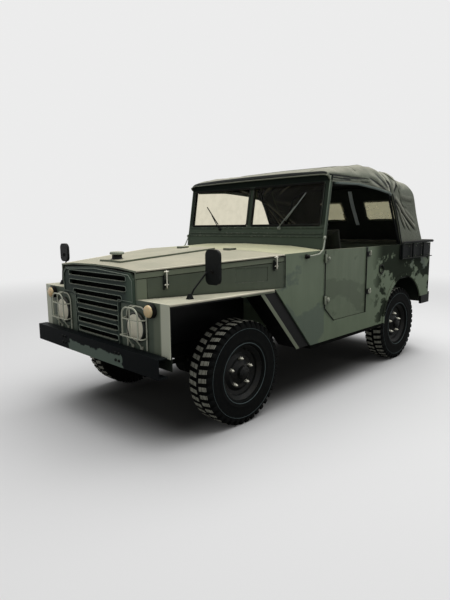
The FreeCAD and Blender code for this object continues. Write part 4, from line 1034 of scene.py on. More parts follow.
def sag_and_folds(grid):
    """How far the cloth stands out of (or sinks into) its stretched shape, and the painted shade of its
    creases and painted highlight of its ridges.
    """
    x, y, z = grid[..., 0], grid[..., 1], grid[..., 2]
    hand = np.abs(x)
    push, dark, light = fold_pattern(y, z, hand)
    roof = step(z, 1890, 50)
    for a, b in roof_bays:
        sag = np.sin(math.pi * step(y, a, b - a)) ** 1.5
        push -= bay_sag * sag * roof * np.clip(1 - (hand / 640) ** 4, 0, 1)
    ridge = step(hand, 420, 200) * step(z, 1800, 60)
    for at, level, lean, rise, half, shade, shade_half in bow_folds:
        off = y - at + (level - z) * lean
        push += rise * dip(off / half) * ridge
        tint = shade * dip(off / shade_half) * ridge
        if rise > 0:
            light = np.maximum(light, tint)
        else:
            dark = np.maximum(dark, tint)
    wave = np.sin(y / 46 + hand / 75) * 3.2 + np.sin(y / 27 - hand / 120 + 1.3) * 1.6
    push += wave * roof * step(hand, 300, 400)
    sidewall = step(hand, 700, 60) * step(y, 2160, 120) * step(y, 2300, 100)
    push -= side_sag * sidewall * np.sin(math.pi * step(z, 1260, 520))
    # the back hangs in soft upright folds between its straps
    back = step(y, 2700, 60) * step(-hand, -690, 80)
    push += back * (back_waves * np.cos(hand / 52.0) * np.clip((1720 - z) / 300, 0.1, 1)
                    - back_sag * np.sin(math.pi * step(z, 1280, 620)))
    return push, dark, light


def canopy():
    """One continuous sheet of canvas over the roof, quarters and back, with two windows behind."""
    grid = canopy_grid()
    push, dark, light = sag_and_folds(grid)
    grid = grid + grid_normals(grid) * push[..., None]
    rows, count, _ = grid.shape
    bm = bmesh.new()
    # per point: the painted shade of the creases and the painted highlight of the ridges
    crease, ridge = bm.verts.layers.float.new("crease"), bm.verts.layers.float.new("ridge")
    verts = [[bm.verts.new(point) for point in line] for line in grid]
    for i, line in enumerate(verts):
        for j, vert in enumerate(line):
            vert[crease], vert[ridge] = dark[i, j], light[i, j]
    for i in range(rows - 1):
        for j in range(count - 1):
            x, y, z = (grid[i, j] + grid[i + 1, j + 1]) / 2
            if not (y > back_y and window_low < z < window_high and window_inner < abs(x) < window_outer):
                bm.faces.new((verts[i][j], verts[i][j + 1], verts[i + 1][j + 1], verts[i + 1][j]))
    bmesh.ops.delete(bm, geom=[v for v in bm.verts if not v.link_faces], context="VERTS")
    bmesh.ops.recalc_face_normals(bm, faces=bm.faces)
    area = sum(f.calc_area() for f in bm.faces) * MM * MM
    piece = finish_piece("canvas_hood", bm, top_canvas, sharp=60.0, replaces=["canvas_top"])
    # the inside takes the lining's painted shade
    piece.data.materials.append(lining_canvas_shaded)
    thicken(piece, cloth_thickness, 0).material_offset = 1
    return piece, grid, area


hood, hood_grid, hood_area = canopy()


def hood_point(y, share):
    """A point on the canopy: share is -1 at the right lower edge, 0 in the middle, 1 at the left."""
    rows, count, _ = hood_grid.shape
    i = np.interp(y, hood_grid[:, count // 2, 1], np.arange(rows))
    j = (share + 1) / 2 * (count - 1)
    i0, j0 = int(min(i, rows - 2)), int(min(j, count - 2))
    a, b = i - i0, j - j0
    return Vector((1 - a) * (1 - b) * hood_grid[i0, j0] + a * (1 - b) * hood_grid[i0 + 1, j0]
                  + (1 - a) * b * hood_grid[i0, j0 + 1] + a * b * hood_grid[i0 + 1, j0 + 1])


def hood_back(x, z):
    """A point on the outside of the canopy's back, or of its lower edge where none is found."""
    for above, below in zip(hood_grid[len(hood_grid) // 2:], hood_grid[len(hood_grid) // 2 + 1:]):
        j = int(np.argmin(np.abs(above[:, 0] - x)))
        a, b = above[j], below[j]
        if a[2] >= z >= b[2]:
            return Vector(a + (b - a) * (a[2] - z) / max(a[2] - b[2], 1e-6))
    return Vector(b)


def hood_trim(name, bm, material=top_canvas, sharp=50.0):
    piece = finish_piece(name, bm, material, sharp=sharp)
    return piece


def hood_trims():
    """Hems on the canvas's edges, the tuck behind, the roof seams, the rolled sides and the strap."""
    bm = bmesh.new()
    for line in (hood_grid[::2, 0], hood_grid[::2, -1], hood_grid[0, ::2], hood_grid[-1, ::2]):
        sweep(bm, line, disc(5.0, 8))
    hood_trim("hood_hems", bm, sharp=40.0)

    bm = bmesh.new()
    sheet(bm, [[bm.verts.new(q) for q in ((x, y, z - 1), (x * 0.992, y - 22, z - 4),
                                          (x * 0.985, y - 38, z - 14), (x * 0.985, y - 42, z - 50))]
               for x, y, z in hood_grid[-1]])
    thicken(hood_trim("hood_tuck", bm, sharp=60.0), cloth_thickness)

    bm = bmesh.new()
    lines = [[hood_point(y, share) for y in np.arange(985, 2520, 40)] for share in (-0.62, 0.62)]
    lines += [[hood_point(y, share) for share in np.linspace(-0.80, 0.80, 40)] for y in (1480, 2050)]
    for line in lines:
        sweep(bm, [p + Vector((0, 0, 1.5)) for p in line], webbing(9, 1.6))
    hood_trim("hood_seams", bm, sharp=40.0)

    bm = bmesh.new()
    for j, side in ((0, -1), (-1, 1)):
        sweep(bm, [p + (-6 * side, 0, -9) for p in hood_grid[9::3, j] if 985 < p[1] < 2125], disc(12.0))
    hood_trim("hood_side_roll", bm, roll_canvas)

    bm = bmesh.new()
    for j, side in ((0, -1), (-1, 1)):
        sweep(bm, [p + (-3 * side, 6, 0) for p in hood_grid[:, j] if 2105 < p[1] < 2400], strip(16, 4))
    hood_trim("hood_rear_edge", bm, dark_canvas)

    bm = bmesh.new()
    skin(bm, [[bm.verts.new(hood_back(0, z) + Vector((x, y, 0)))
               for x, y in ((-24, -12), (24, -12), (24, -15), (-24, -15))]
              for z in np.linspace(1850, 1452, 24)], ends=True)
    bmesh.ops.recalc_face_normals(bm, faces=bm.faces)
    hood_trim("hood_back_strap", bm, strap_canvas_lit)


def rear_windows():
    """Clear panes with sewn canvas borders in the back of the canopy."""
    panes, borders = bmesh.new(), bmesh.new()
    for side in (-1, 1):
        sheet(panes, [[panes.verts.new(hood_back(side * x, z) + Vector((0, -1.5, 0)))
                       for x in np.linspace(window_inner - 4, window_outer + 4, 14)]
                      for z in np.linspace(window_low - 6, window_high + 6, 10)])
        around = rounded_outline(window_inner, window_outer, window_low, window_high, 26, 4)
        loop = [hood_back(side * x, z) + Vector((0, 2.0, 0)) for x, z in around]
        sweep(borders, loop, webbing(12, 2.2), True)
    piece = finish_piece("rear_window_panes", panes, pane_sheet, sharp=60.0, replaces=["window_panes"])
    thicken(piece, pane_thickness)
    hood_trim("rear_window_borders", borders, sharp=40.0)


hood_trims()
rear_windows()


# ---- glass and windscreen -----------------------------------------------------------------------
screen_foot_y, rake = 880.0, math.radians(9.5)
screen_out = Vector((0, -math.cos(rake), math.sin(rake)))
glass_low, glass_high = 205.3, 566.0            # up the windscreen's slope
glass_spans = ((-804.0, -22.0), (22.0, 804.0))


def on_screen(x, up, out=0.0):
    """A point on the leaning windscreen: up along its slope, out towards the front."""
    y = 2.0 - out
    return Vector((x, screen_foot_y + y * math.cos(rake) + up * math.sin(rake),
                   belt_z + up * math.cos(rake) - y * math.sin(rake)))


def windscreen_glass():
    with drawn("windscreen_glass", screen_glass, replaces=["window_panes"]) as bm:
        for x0, x1 in glass_spans:
            corners = [(x0 + 1, glass_low + 1), (x1 - 1, glass_low + 1),
                       (x1 - 1, glass_high - 1), (x0 + 1, glass_high - 1)]
            plate(bm, [on_screen(x, up, -14) for x, up in corners], -screen_out, 5.0, 0.8)
    with drawn("glass_seals", seal_rubber) as bm:
        for x0, x1 in glass_spans:
            around = rounded_outline(x0 + 4, x1 - 4, glass_low + 4, glass_high - 4, 22)
            sweep(bm, [on_screen(x, up, 1.5) for x, up in around], strip(9, 3), True)


windscreen_glass()


# ---- lamps --------------------------------------------------------------------------------------
lamp_x, lamp_z, lens_radius, lens_rise = 500.0, 805.0, 90.0, 19.0
turn_lamp_x, turn_lamp_z, tail_lamp_x = 668.0, 932.0, 760.0
rim_outline = ((70, 92), (71, 99), (74, 102), (86, 102), (91, 98), (93, 91), (89, 86), (72, 86))
dish_outline = [(74 - 0.495 * (88 - r) ** 1.1, r) for r in (88, 78, 66, 54, 40, 26, 12, 0)]
flute_depth, flute_spacing = 1.3, 7.5


def fluted_glass(bm, centre, rings=14, sides=72):
    """Domed lens with upright flutes moulded into it."""
    grid = []
    for i in range(rings + 1):
        r = lens_radius * i / rings
        ring = []
        for a in circle(sides) if i else [0.0]:
            x, z = r * math.cos(a), r * math.sin(a)
            flute = flute_depth * abs(math.sin(x / flute_spacing)) if r < 0.93 * lens_radius else 0
            y = -lens_rise * (1 - (r / lens_radius) ** 2) - flute
            ring.append(bm.verts.new(centre + Vector((x, y, z))))
        grid.append(ring)
    for j in range(sides):
        bm.faces.new((grid[0][0], grid[1][(j + 1) % sides], grid[1][j]))
    skin(bm, grid[1:])


def headlamps():
    """Bowl and rim in dark green paint, reflector behind and a fluted glass in front."""
    for side, name in SIDES:
        at = Vector((side * lamp_x, nose_y + 6, lamp_z))
        back = at + Vector((0, 70, 0))
        with drawn("headlamp_rim_" + name, rim_green, replaces=["headlamps"]) as bm:
            turned(bm, back, AHEAD, [(0, 30), (2, 54), (60, 90), (72, 91)], 40)
            turned(bm, back, AHEAD, rim_outline, 48)
        with drawn("headlamp_dish_" + name, reflector) as bm:
            turned(bm, back, AHEAD, [(dish_outline[0][0] - 2, 89)] + dish_outline, 48)
            turned(bm, at + Vector((0, 40, 0)), AHEAD, [(0, 12), (16, 12), (24, 6), (26, 0)], 16)
        bm = bmesh.new()
        fluted_glass(bm, at + Vector((0, -16, 0)))
        thicken(finish_piece("headlamp_glass_" + name, bm, lens_glass, sharp=60.0), 0.003)


def marker_lamps():
    """Amber turn lamps on the front, red and amber lamps behind."""
    for side, name in SIDES:
        front = Vector((side * turn_lamp_x, nose_y + 6, turn_lamp_z))
        with drawn("turn_lamp_base_" + name, seal_rubber, replaces=["marker_lamps"]) as bm:
            turned(bm, front, AHEAD, [(0, 46), (24, 46), (28, 44), (30, 41)])
        with drawn("turn_lamp_lens_" + name, amber) as bm:
            turned(bm, front + Vector((0, -27, 0)), AHEAD,
                   [(0, 40.5), (8, 40), (16, 36), (21, 28), (23.5, 16), (24, 0)], 40)
        for z, lens, label in ((980.0, red, "stop"), (850.0, amber, "turn")):
            rear = Vector((side * tail_lamp_x, body_rear + 0.3, z))
            with drawn(f"rear_{label}_lamp_base_{name}", seal_rubber) as bm:
                turned(bm, rear, BACK, [(0, 42), (12, 42), (16, 41), (17, 38)])
            with drawn(f"rear_{label}_lamp_lens_{name}", lens) as bm:
                turned(bm, rear + Vector((0, 14, 0)), BACK,
                       [(0, 38), (10, 37), (16, 30), (19.5, 16), (20, 0)], 36)


headlamps()
marker_lamps()


# ---- seats --------------------------------------------------------------------------------------
bench_inner, bench_gap = 565, 35                # inner edge of the benches, gap at the body's side


def pad_shape(size, crown, pull=10.0, n=26):
    """A crowned pad centred on its own origin, its sides pulled in between the corners."""
    sx, sy, sz = size
    flat, power, round_off = 0.82, 2.6, 0.36    # share left flat, form of the crown, share of height
    bm = bmesh.new()
    verts = {}
    for i in range(n + 1):
        for j in range(n + 1):
            u, v = 2 * i / n - 1, 2 * j / n - 1
            rim = max(0.0, (max(abs(u), abs(v)) - flat) / (1 - flat))
            x, y = u * sx / 2, v * sy / 2
            if abs(u) > abs(v):
                x -= math.copysign(pull * (1 - v * v) * rim * 0.5, u)
            else:
                y -= math.copysign(pull * (1 - u * u) * rim * 0.5, v)
            bulge = crown * (1 - abs(u) ** power) * (1 - abs(v) ** power)
            drop = round_off * sz * rim ** 2
            verts[i, j, 1] = bm.verts.new((x, y, sz / 2 - drop + bulge))
            verts[i, j, 0] = bm.verts.new((x, y, -sz / 2 + drop * 0.5))
    for i in range(n):
        for j in range(n):
            for level in (0, 1):
                bm.faces.new([verts[i + a, j + b, level] for a, b in ((0, 0), (1, 0), (1, 1), (0, 1))])
    rim = ([(i, 0) for i in range(n)] + [(n, j) for j in range(n)]
           + [(i, n) for i in range(n, 0, -1)] + [(0, j) for j in range(n, 0, -1)])
    for at, after in zip(rim, rim[1:] + rim[:1]):
        bm.faces.new((verts[(*at, 1)], verts[(*at, 0)], verts[(*after, 0)], verts[(*after, 1)]))
    bmesh.ops.recalc_face_normals(bm, faces=bm.faces)
    return bm, [verts[(*at, 1)].co.copy() for at in rim]


def settle(piece):
    """Makes a piece's modifiers part of its mesh."""
    depsgraph = bpy.context.evaluated_depsgraph_get()
    made = bpy.data.meshes.new_from_object(piece.evaluated_get(depsgraph))
    piece.modifiers.clear()
    piece.data = made


def coordinates(mesh):
    flat = np.empty(len(mesh.vertices) * 3)
    mesh.vertices.foreach_get("co", flat)
    return flat.reshape(-1, 3)


def swell(pads, voxel=0.008, pressure=4.0, cap=0.009, frames=20):
    """Stuffs the pads: cloth under pressure for a few frames, no point moved further than the cap."""
    for pad in pads:
        remesh = pad.modifiers.new("even mesh", "REMESH")
        remesh.mode, remesh.voxel_size = "VOXEL", voxel
        settle(pad)
        cloth = pad.modifiers.new("stuffing", "CLOTH")
        cloth.settings.use_pressure = True
        cloth.settings.uniform_pressure_force = pressure
        cloth.settings.effector_weights.gravity = 0.0
        cloth.settings.quality = 4
        cloth.collision_settings.use_collision = False
    for frame_number in range(1, frames + 1):
        bpy.context.scene.frame_set(frame_number)
    depsgraph = bpy.context.evaluated_depsgraph_get()
    for pad in pads:
        start = coordinates(pad.data)
        moved = coordinates(pad.evaluated_get(depsgraph).data) - start
        length = np.maximum(np.linalg.norm(moved, axis=1, keepdims=True), 1e-9)
        done = start + moved * np.minimum(1.0, cap / length)
        pad.modifiers.clear()
        pad.data.vertices.foreach_set("co", done.ravel())
        pad.data.update()
    bpy.context.scene.frame_set(1)


def sew(pad, turn, size, channels, depth=6.5):
    """Smooths a pad once and draws its sewn channels down into the top."""
    smooth = pad.modifiers.new("smooth", "SUBSURF")
    smooth.levels = smooth.render_levels = 1
    settle(pad)
    if channels:
        points = coordinates(pad.data)
        local = np.array(turn.inverted())
        flat = (points - np.array([0.0, front_axle, 0.0])) / MM
        flat = flat @ local[:3, :3].T + local[:3, 3]
        u, v = flat[:, 0] / size[0] * 2, flat[:, 1] / size[1] * 2
        phase = np.abs(((u + 1) / 2 * channels) % 1 - 0.5) * 2
        inside = np.clip((0.86 - np.maximum(np.abs(u), np.abs(v))) / 0.08, 0, 1) * (flat[:, 2] > 0)
        deep = depth * np.clip((phase - 0.84) / 0.16, 0, 1) ** 2 * inside * MM
        up = np.array(turn.to_3x3() @ Vector(UP))
        pad.data.vertices.foreach_set("co", (points - deep[:, None] * up).ravel())
        pad.data.update()
    for face in pad.data.polygons:
        face.use_smooth = True


def piping(pad, turn, rim, proud=0.001):
    """A cord sewn round the pad's upper edge, laid on the stuffed surface."""
    path = []
    for p in rim:
        _, place, normal, _ = pad.closest_point_on_mesh(to_frame(*(turn @ p)))
        place = place + normal * proud
        path.append(Vector((place.x / MM, (place.y - front_axle) / MM, place.z / MM)))
    with drawn(pad.name + "_piping", seat_cloth_shaded, sharp=60.0) as bm:
        sweep(bm, path, disc(3.4, 8), True)


def seats():
    """Front cushions and backs, and the benches on the wheel boxes, as stuffed covers."""
    made = []
    for side, name in SIDES:
        x = side * seat_x
        bench_x = side * (bench_inner + body_half - bench_gap) / 2
        for label, size, crown, place, lean, channels in (
                ("seat_cushion_", (456, 426, 84), 8.0, (x, 1338, 897), 0.0, 5),
                ("seat_back_", (436, 462, 76), 7.0, (x, 1596, 1192), 106, 5),
                ("bench_cushion_", (244, 950, 68), 7.0, (bench_x, 2475, 938), 0.0, 0)):
            bm, rim = pad_shape(size, crown)
            turn = Matrix.Translation(Vector(place)) @ Matrix.Rotation(math.radians(lean), 4, "X")
            bmesh.ops.transform(bm, matrix=turn, verts=bm.verts)
            pad = finish_piece(label + name, bm, seat_cloth_shaded, sharp=60.0, replaces=["seats"])
            made.append((pad, turn, size, channels, rim))
    swell([pad for pad, *_ in made])
    for pad, turn, size, channels, rim in made:
        sew(pad, turn, size, channels)
        piping(pad, turn, rim)


seats()


# ---- fittings -----------------------------------------------------------------------------------
bonnet_slant = (body_half - bonnet_half) / (cowl_y - nose_y)


def bonnet_side(y):
    """Half width and edge height of the bonnet at y."""
    t = (y - nose_y) / (cowl_y - nose_y)
    return bonnet_half + (body_half - bonnet_half) * t, bonnet_z + bonnet_rise * t


def on_side(side, y, along, up, out):
    """A point on the slanted side of the bonnet: along it, at a height, and out from it."""
    d = Vector((bonnet_slant, 1, 0)).normalized()
    n = Vector((1, -bonnet_slant, 0)).normalized()
    p = Vector((bonnet_side(y)[0], y, up)) + d * along + n * out
    return Vector((side * p.x, p.y, p.z))


def header_seal():
    """Rubber strip that closes the canvas's front edge on the top of the windscreen glass."""
    with drawn("header_seal", seal_rubber) as bm:
        sweep(bm, [on_screen(x, 556.0, 3.0) for x in (-802, -400, 0, 400, 802)], strip(13, 2.5))


def slot_edges():
    """Rolled edges of the grille's slots and the crest of its bead, with a painted highlight."""
    first_z, pitch, half_height, inset = bonnet_z - 58.0, 70.0, 19.5, 16.0
    with drawn("slot_edges", slot_highlight, sharp=50.0) as bm:
        for i, half in enumerate((392.0, 392.0, 335.0, 286.0, 284.0, 281.0, 278.0, 275.0)):
            z = first_z - pitch * i
            loop = upright(nose_y - 0.5, -half, half, z - half_height, z + half_height, 18)
            sweep(bm, loop, disc(2.7, 8), True)
    with drawn("bead_crest", slot_highlight, sharp=50.0) as bm:
        top, half = bonnet_z - 15.0 - inset, grille_half - inset
        shoulder, narrow, low = wing_z - 35 + inset, grille_narrow - inset, grille_low + inset
        left = [(half - 40, top), (half, top - 40), (half, shoulder), (narrow, shoulder), (narrow, low)]
        line = [(-x, z) for x, z in left[::-1]] + [(0, top + 22)] + left
        sweep(bm, [(x, nose_y - 5.0, z) for x, z in line], disc(2.2, 8))


def nose_seals():
    """Rubber baffles behind the grille, the seal under the bonnet's front edge and splash aprons."""
    with drawn("nose_seals", seal_rubber) as bm:
        for side in (-1, 1):
            block(bm, side * 400 - 3, side * 400 + 3, nose_y + 22, nose_y + 104, 604, 980, 1.0)
            block(bm, side * 400, side * 484, nose_y + 23, nose_y + 28, 960, 986, 0.5)
        outline = ((-478, 1118), (478, 1118), (478, 1163), (313, 1177), (0, 1183), (-313, 1177),
                   (-478, 1163))
        plate(bm, [(x, nose_y + 34, z) for x, z in outline], AHEAD, 6.0, 1.0)
    with drawn("splash_aprons", cabin_shade_green) as bm:
        for side in (-1, 1):
            block(bm, side * 560, side * 820, nose_y + 30, nose_y + 35, 560, 652, 1.0)


def edge_beads():
    """Rolled edges of the bonnet, the wings and the windscreen's sides with a painted highlight, and a
    dark strip of painted shade under the bonnet's edge.
    """
    for side, name in SIDES:
        # a light strip of painted highlight on the bonnet's edge, and below it a dark strip of painted
        # shade
        for label, material, inset, drop, section in (("edge_", edge_highlight, 2.0, 4.0, disc(6.0)),
                                                      ("seal_", seal_rubber, 0.5, 13.0, disc(3.2, 8))):
            with drawn("bonnet_" + label + name, material, "bonnet", 50.0) as bm:
                line = [(y, *bonnet_side(y)) for y in np.linspace(nose_y + 4, cowl_y - 5, 12)]
                sweep(bm, [(side * (half - inset), y, z - drop) for y, half, z in line], section)
        with drawn("wing_edge_" + name, edge_highlight, sharp=50.0) as bm:
            sweep(bm, [(side * 829.0, nose_y + 15, wing_z - 6), (side * 840.5, nose_y + 480, wing_z - 6),
                       (side * 851.0, 255, wing_z - 6)], disc(7.5))
            sweep(bm, [(side * x, nose_y + 15, wing_z - 2) for x in (490.0, 828.0)], disc(3.0, 8))
        with drawn("screen_edge_" + name, green_edge_highlight, sharp=50.0) as bm:
            sweep(bm, [on_screen(side * 849.0, up, 1.0) for up in (8, 200, 420, 618)], disc(4.0, 10))
            for x in (803.0, 22.0):
                sweep(bm, [on_screen(side * x, up, 2.5) for up in (212, 400, 560)], disc(2.2, 8))


def bonnet_catch(side, y, low, high, place):
    """A sprung lever on its plate, from its foot to the lip of the bonnet that it holds down."""
    def at(along, up, out=0.0):
        return on_side(side, y, along, up, out)
    outward = at(0, 0, 1) - at(0, 0)
    with drawn("catch_plate_" + place, black) as bm:
        outline = ((-17, 8), (17, 8), (17, 40), (9, 58), (-9, 58), (-17, 40))
        plate(bm, [at(u, low + v) for u, v in outline], outward, 5.0, 1.0)
        for u in (-12, 12):
            rivet(bm, at(u, low + 20, 5.0), outward, 3.4)
        rail = [at(-20, low - 8), at(-14, low - 8), at(-14, high - 22), at(-20, high - 30)]
        plate(bm, rail, outward, 9.0, 1.0)
    with drawn("catch_lever_" + place, bright_steel) as bm:
        tube(bm, [at(0, low, 13), at(0, low + 10, 19), at(0, high - 20, 20), at(0, high - 2, 16),
                  at(0, high + 2, 6)], 5.2, 8)
        rod(bm, at(-17, high - 4, 12), at(17, high - 4, 12), 4.6)
        rod(bm, at(-14, low + 26, 11), at(14, low + 26, 11), 5.0)


def wipers():
    """Two wipers that hang from the foot of the glass: spindle, arm, blade holder and rubber."""
    # painted light: the left wiper lighter than the right, which is black
    for foot, tip, name, paint in (((-380, 177), (-611, 404), "right", black),     # across, up the slope
                                   ((372, 184), (617, 488), "left", wiper_lit_grey)):
        def at(share, out, aside=0.0):
            x, up = (a + (b - a) * share for a, b in zip(foot, tip))
            return on_screen(x + aside, up, out)
        with drawn("wiper_" + name, paint) as bm:
            spindle = [(0, 17), (8, 17), (12, 13), (20, 11), (24, 6), (25, 0)]
            turned(bm, at(0.0, -2), screen_out, spindle, 24)
            tube(bm, [at(0.0, 16), at(0.25, 15), at(0.62, 2)], 4.2, 20)
            sweep(bm, [at(0.22, -3, 5), at(0.60, -2, 2), at(1.0, -4)], disc(4.4, 8))
        with drawn("wiper_rubber_" + name, seal_rubber) as bm:
            sweep(bm, [at(0.21, -8.5, 5), at(0.60, -8.5, 2), at(1.01, -8.5)], disc(3.6, 6))


def screen_clamps():
    """Black knobs on the cowl's sides and the bright rods that brace the windscreen from them."""
    for side, name in SIDES:
        def at(out, y, z):
            return side * (body_half + out), y, z
        with drawn("clamp_knob_" + name, black_plastic, sharp=50.0) as bm:
            turned(bm, at(0, 645, 1209), (side, 0, 0), [(0, 19), (3, 19), (5, 12), (7, 12)], 24)
            turned(bm, at(17, 645, 1209), (side, 0, 0),
                   [(-13, 4), (-10, 10), (-5, 14.5), (0, 16), (5, 14.5), (10, 10), (13, 4), (13.6, 0)], 24)
        with drawn("clamp_rod_" + name, rod_green, sharp=50.0) as bm:
            tube(bm, [at(17, 655, 1212), at(17, 720, 1216), at(15, 800, 1224), at(8, 862, 1254),
                      at(-2, 897, 1330), at(-3, 901, 1352)], 5.6, 40)
            turned(bm, at(-8, 900, 1352), (side, 0, 0), [(0, 15), (9, 15), (13, 9), (14, 0)], 16)


def door_fittings():
    """Hinge covers and screws on the doors, and the turn catches behind them."""
    for side, name in SIDES:
        out = Vector((side, 0, 0))

        def at(proud, y, z):
            return side * (body_half + proud), y, z
        with drawn("hinge_covers_" + name, hinge_green, "door_" + name) as bm:
            for z, size in ((830.0, 21.0), (1180.0, 15.0)):
                turned(bm, at(12, 944, z), out,
                       [(0, size), (4, size), (9, size * 0.84), (12, size * 0.54), (13, 0)], 28)
                for y, dz in ((966, 15), (966, -15), (922, 16), (922, -16)):
                    bolt(bm, at(13.6, y, z + dz), out, 4.0, 4.0)
                rod(bm, at(11, 907, z - 36), at(11, 907, z + 36), 8.5)
        catches = ((1651.0, 1184.0, 13.0), (1660.0, 830.0, 20.0))
        with drawn("door_catch_plates_" + name, black) as bm:
            for y, z, _ in catches:
                outline = [at(0.2, y + v, z + w) for v, w in rounded_outline(-40, 20, -24, 24, 9, 4)]
                plate(bm, outline, out, 4.0, 1.0)
        with drawn("door_catches_" + name, guard_green) as bm:
            for y, z, size in catches:
                turned(bm, at(4.2, y, z), out,
                       [(0, size), (9, size), (13, size * 0.8), (15, size * 0.4), (15.5, 0)], 28)
                tube(bm, [at(12.2, y, z), at(22.2, y - 12, z + 6), at(22.2, y - 16, z + 34)], 5.5, 10)
        with drawn("door_seal_" + name, seal_rubber, "door_" + name) as bm:
            sweep(bm, [at(0.8, 1601.5, z) for z in (1246, 1000, 800, 637)], strip(5, 1.2))
            sweep(bm, [at(0.8, 913.5, z) for z in (1246, 1100, 900, 762)], strip(4, 1.2))
            path = [at(0.8, 915.5 + 148 * t, 758 - 124 * t) for t in (0.0, 0.5, 1.0)]
            sweep(bm, path, [(-1.2, -4), (-1.2, 4), (1.2, 4), (1.2, -4)])
        with drawn("cowl_seam_" + name, seal_rubber) as bm:
            sweep(bm, [at(0.6, cowl_y + 1, z) for z in (1228, 1110, 990)], strip(3.5, 1.0))


mirrors = (                                     # middle, half width, half height, side
    (815, -330, 1187, 67, 116, "left"),
    (-745, -575, 1246, 62, 75, "right"),
)


def mirror_faces():
    """Silvered glass in the back of each mirror's shell, and the nut on its arm."""
    for x, y, z, half_x, half_z, name in mirrors:
        def around(inset, radius):
            w, h = half_x - inset, half_z - inset
            return [(x + u, y + 9.0, z + v) for u, v in rounded_outline(-w, w, -h, h, radius, 8)]
        with drawn("mirror_glass_" + name, mirror_silver) as bm:
            plate(bm, around(6, 36), BACK, 2.0, 0.8)
        with drawn("mirror_rim_" + name, seal_rubber) as bm:
            sweep(bm, around(3, 38), disc(3.4, 8), True)
            turned(bm, (x, y - 16, z - half_z * 0.25), BACK, [(0, 8), (3, 13), (8, 14)], 16)


def cap_trim():
    """Black body and bright worn disc of the water filler on the bonnet."""
    y = nose_y + 190
    t = (y - nose_y) / (cowl_y - nose_y)
    z = bonnet_z + bonnet_rise * t + 22.0 + 2.0 * t + 11.0
    with drawn("filler_neck", black, "bonnet") as bm:
        turned(bm, (0, y, z - 4), UP, [(0, 47), (6, 47), (9, 40), (20, 37), (37, 37)], 40)
    with drawn("filler_disc", cap_green, "bonnet") as bm:
        turned(bm, (0, y, z + 36), UP,
               [(0, 44), (2, 49.5), (12, 50.5), (18, 49), (21, 44), (22, 30), (24, 0)], 40)
        for a in circle(24):
            grip_x, grip_y = 51 * math.cos(a), y + 51 * math.sin(a)
            rod(bm, (grip_x, grip_y, z + 39), (grip_x, grip_y, z + 50), 2.2, 8)


def side_trims():
    """Rim of the fuel filler's pocket, bolts of the bumper and rivets of the arch lips and sides."""
    fuel_y = 1901
    with drawn("fuel_pocket_rim", black) as bm:
        ring = [(body_half + 1.0, fuel_y + 42 * math.cos(a), 1022 + 42 * math.sin(a)) for a in circle(40)]
        sweep(bm, ring, disc(4.5, 8), True)
        tube(bm, [(body_half + out, fuel_y, z) for out, z in ((1, 986), (6, 976), (6, 966))], 4.0, 5)
    with drawn("bumper_bolts", black) as bm:
        for x in (-395, -355, 355, 395):
            for z in (572, 620):
                bolt(bm, (x, bumper_face + 0.5, z), AHEAD, 9.0, 8.0)
    arch_y, arch_z, arch_radius = wheelbase - 15, 473, 459
    with drawn("side_rivets", olive) as bm:
        for side in (-1, 1):
            for i in range(13):
                a = math.radians(-2 + 15.2 * i)
                y, z = arch_y + arch_radius * math.cos(a), arch_z + arch_radius * math.sin(a)
                if y <= arch_y or z >= 668:
                    rivet(bm, (side * (body_half + 6.0), y, z), (side, 0, 0), 4.6)
            for y in (2330, 2480, 2650, 2800, 2990):
                for z in (1120, 1226):
                    rivet(bm, (side * (body_half + 9.2), y, z), (side, 0, 0), 5.5)


def tail_details():
    """Tailgate latches, its handle, the blank plate and rivets."""
    y = body_rear
    with drawn("tailgate_latches", black, "tailgate") as bm:
        for x in (-500, 500):
            block(bm, x - 22, x + 22, y + 0.3, y + 10, 1176, 1236, 2.0)
            tube(bm, [(x, y + 10, 1190), (x, y + 24, 1196), (x, y + 24, 1240)], 6, 8)
            for z in (1184, 1228):
                bolt(bm, (x - 14, y + 10, z), BACK, 4.0, 4.0)
        tube(bm, [(x, y + out, 1150) for x, out in ((-80, 0.3), (-80, 34), (80, 34), (80, 0.3))], 7, 16)
    with drawn("blank_plate", guard_green, "tailgate") as bm:
        plate(bm, upright(y + 1.0, -260, 260, 772, 882, 12, 4), BACK, 3.0, 1.0)
    with drawn("tailgate_rivets", olive, "tailgate") as bm:
        for side, z in ((-1, 720), (1, 1100)):
            for x in (-500, -250, 0, 250, 500):
                rivet(bm, (x + side * 6, y + 0.2, z), BACK, 5.0)


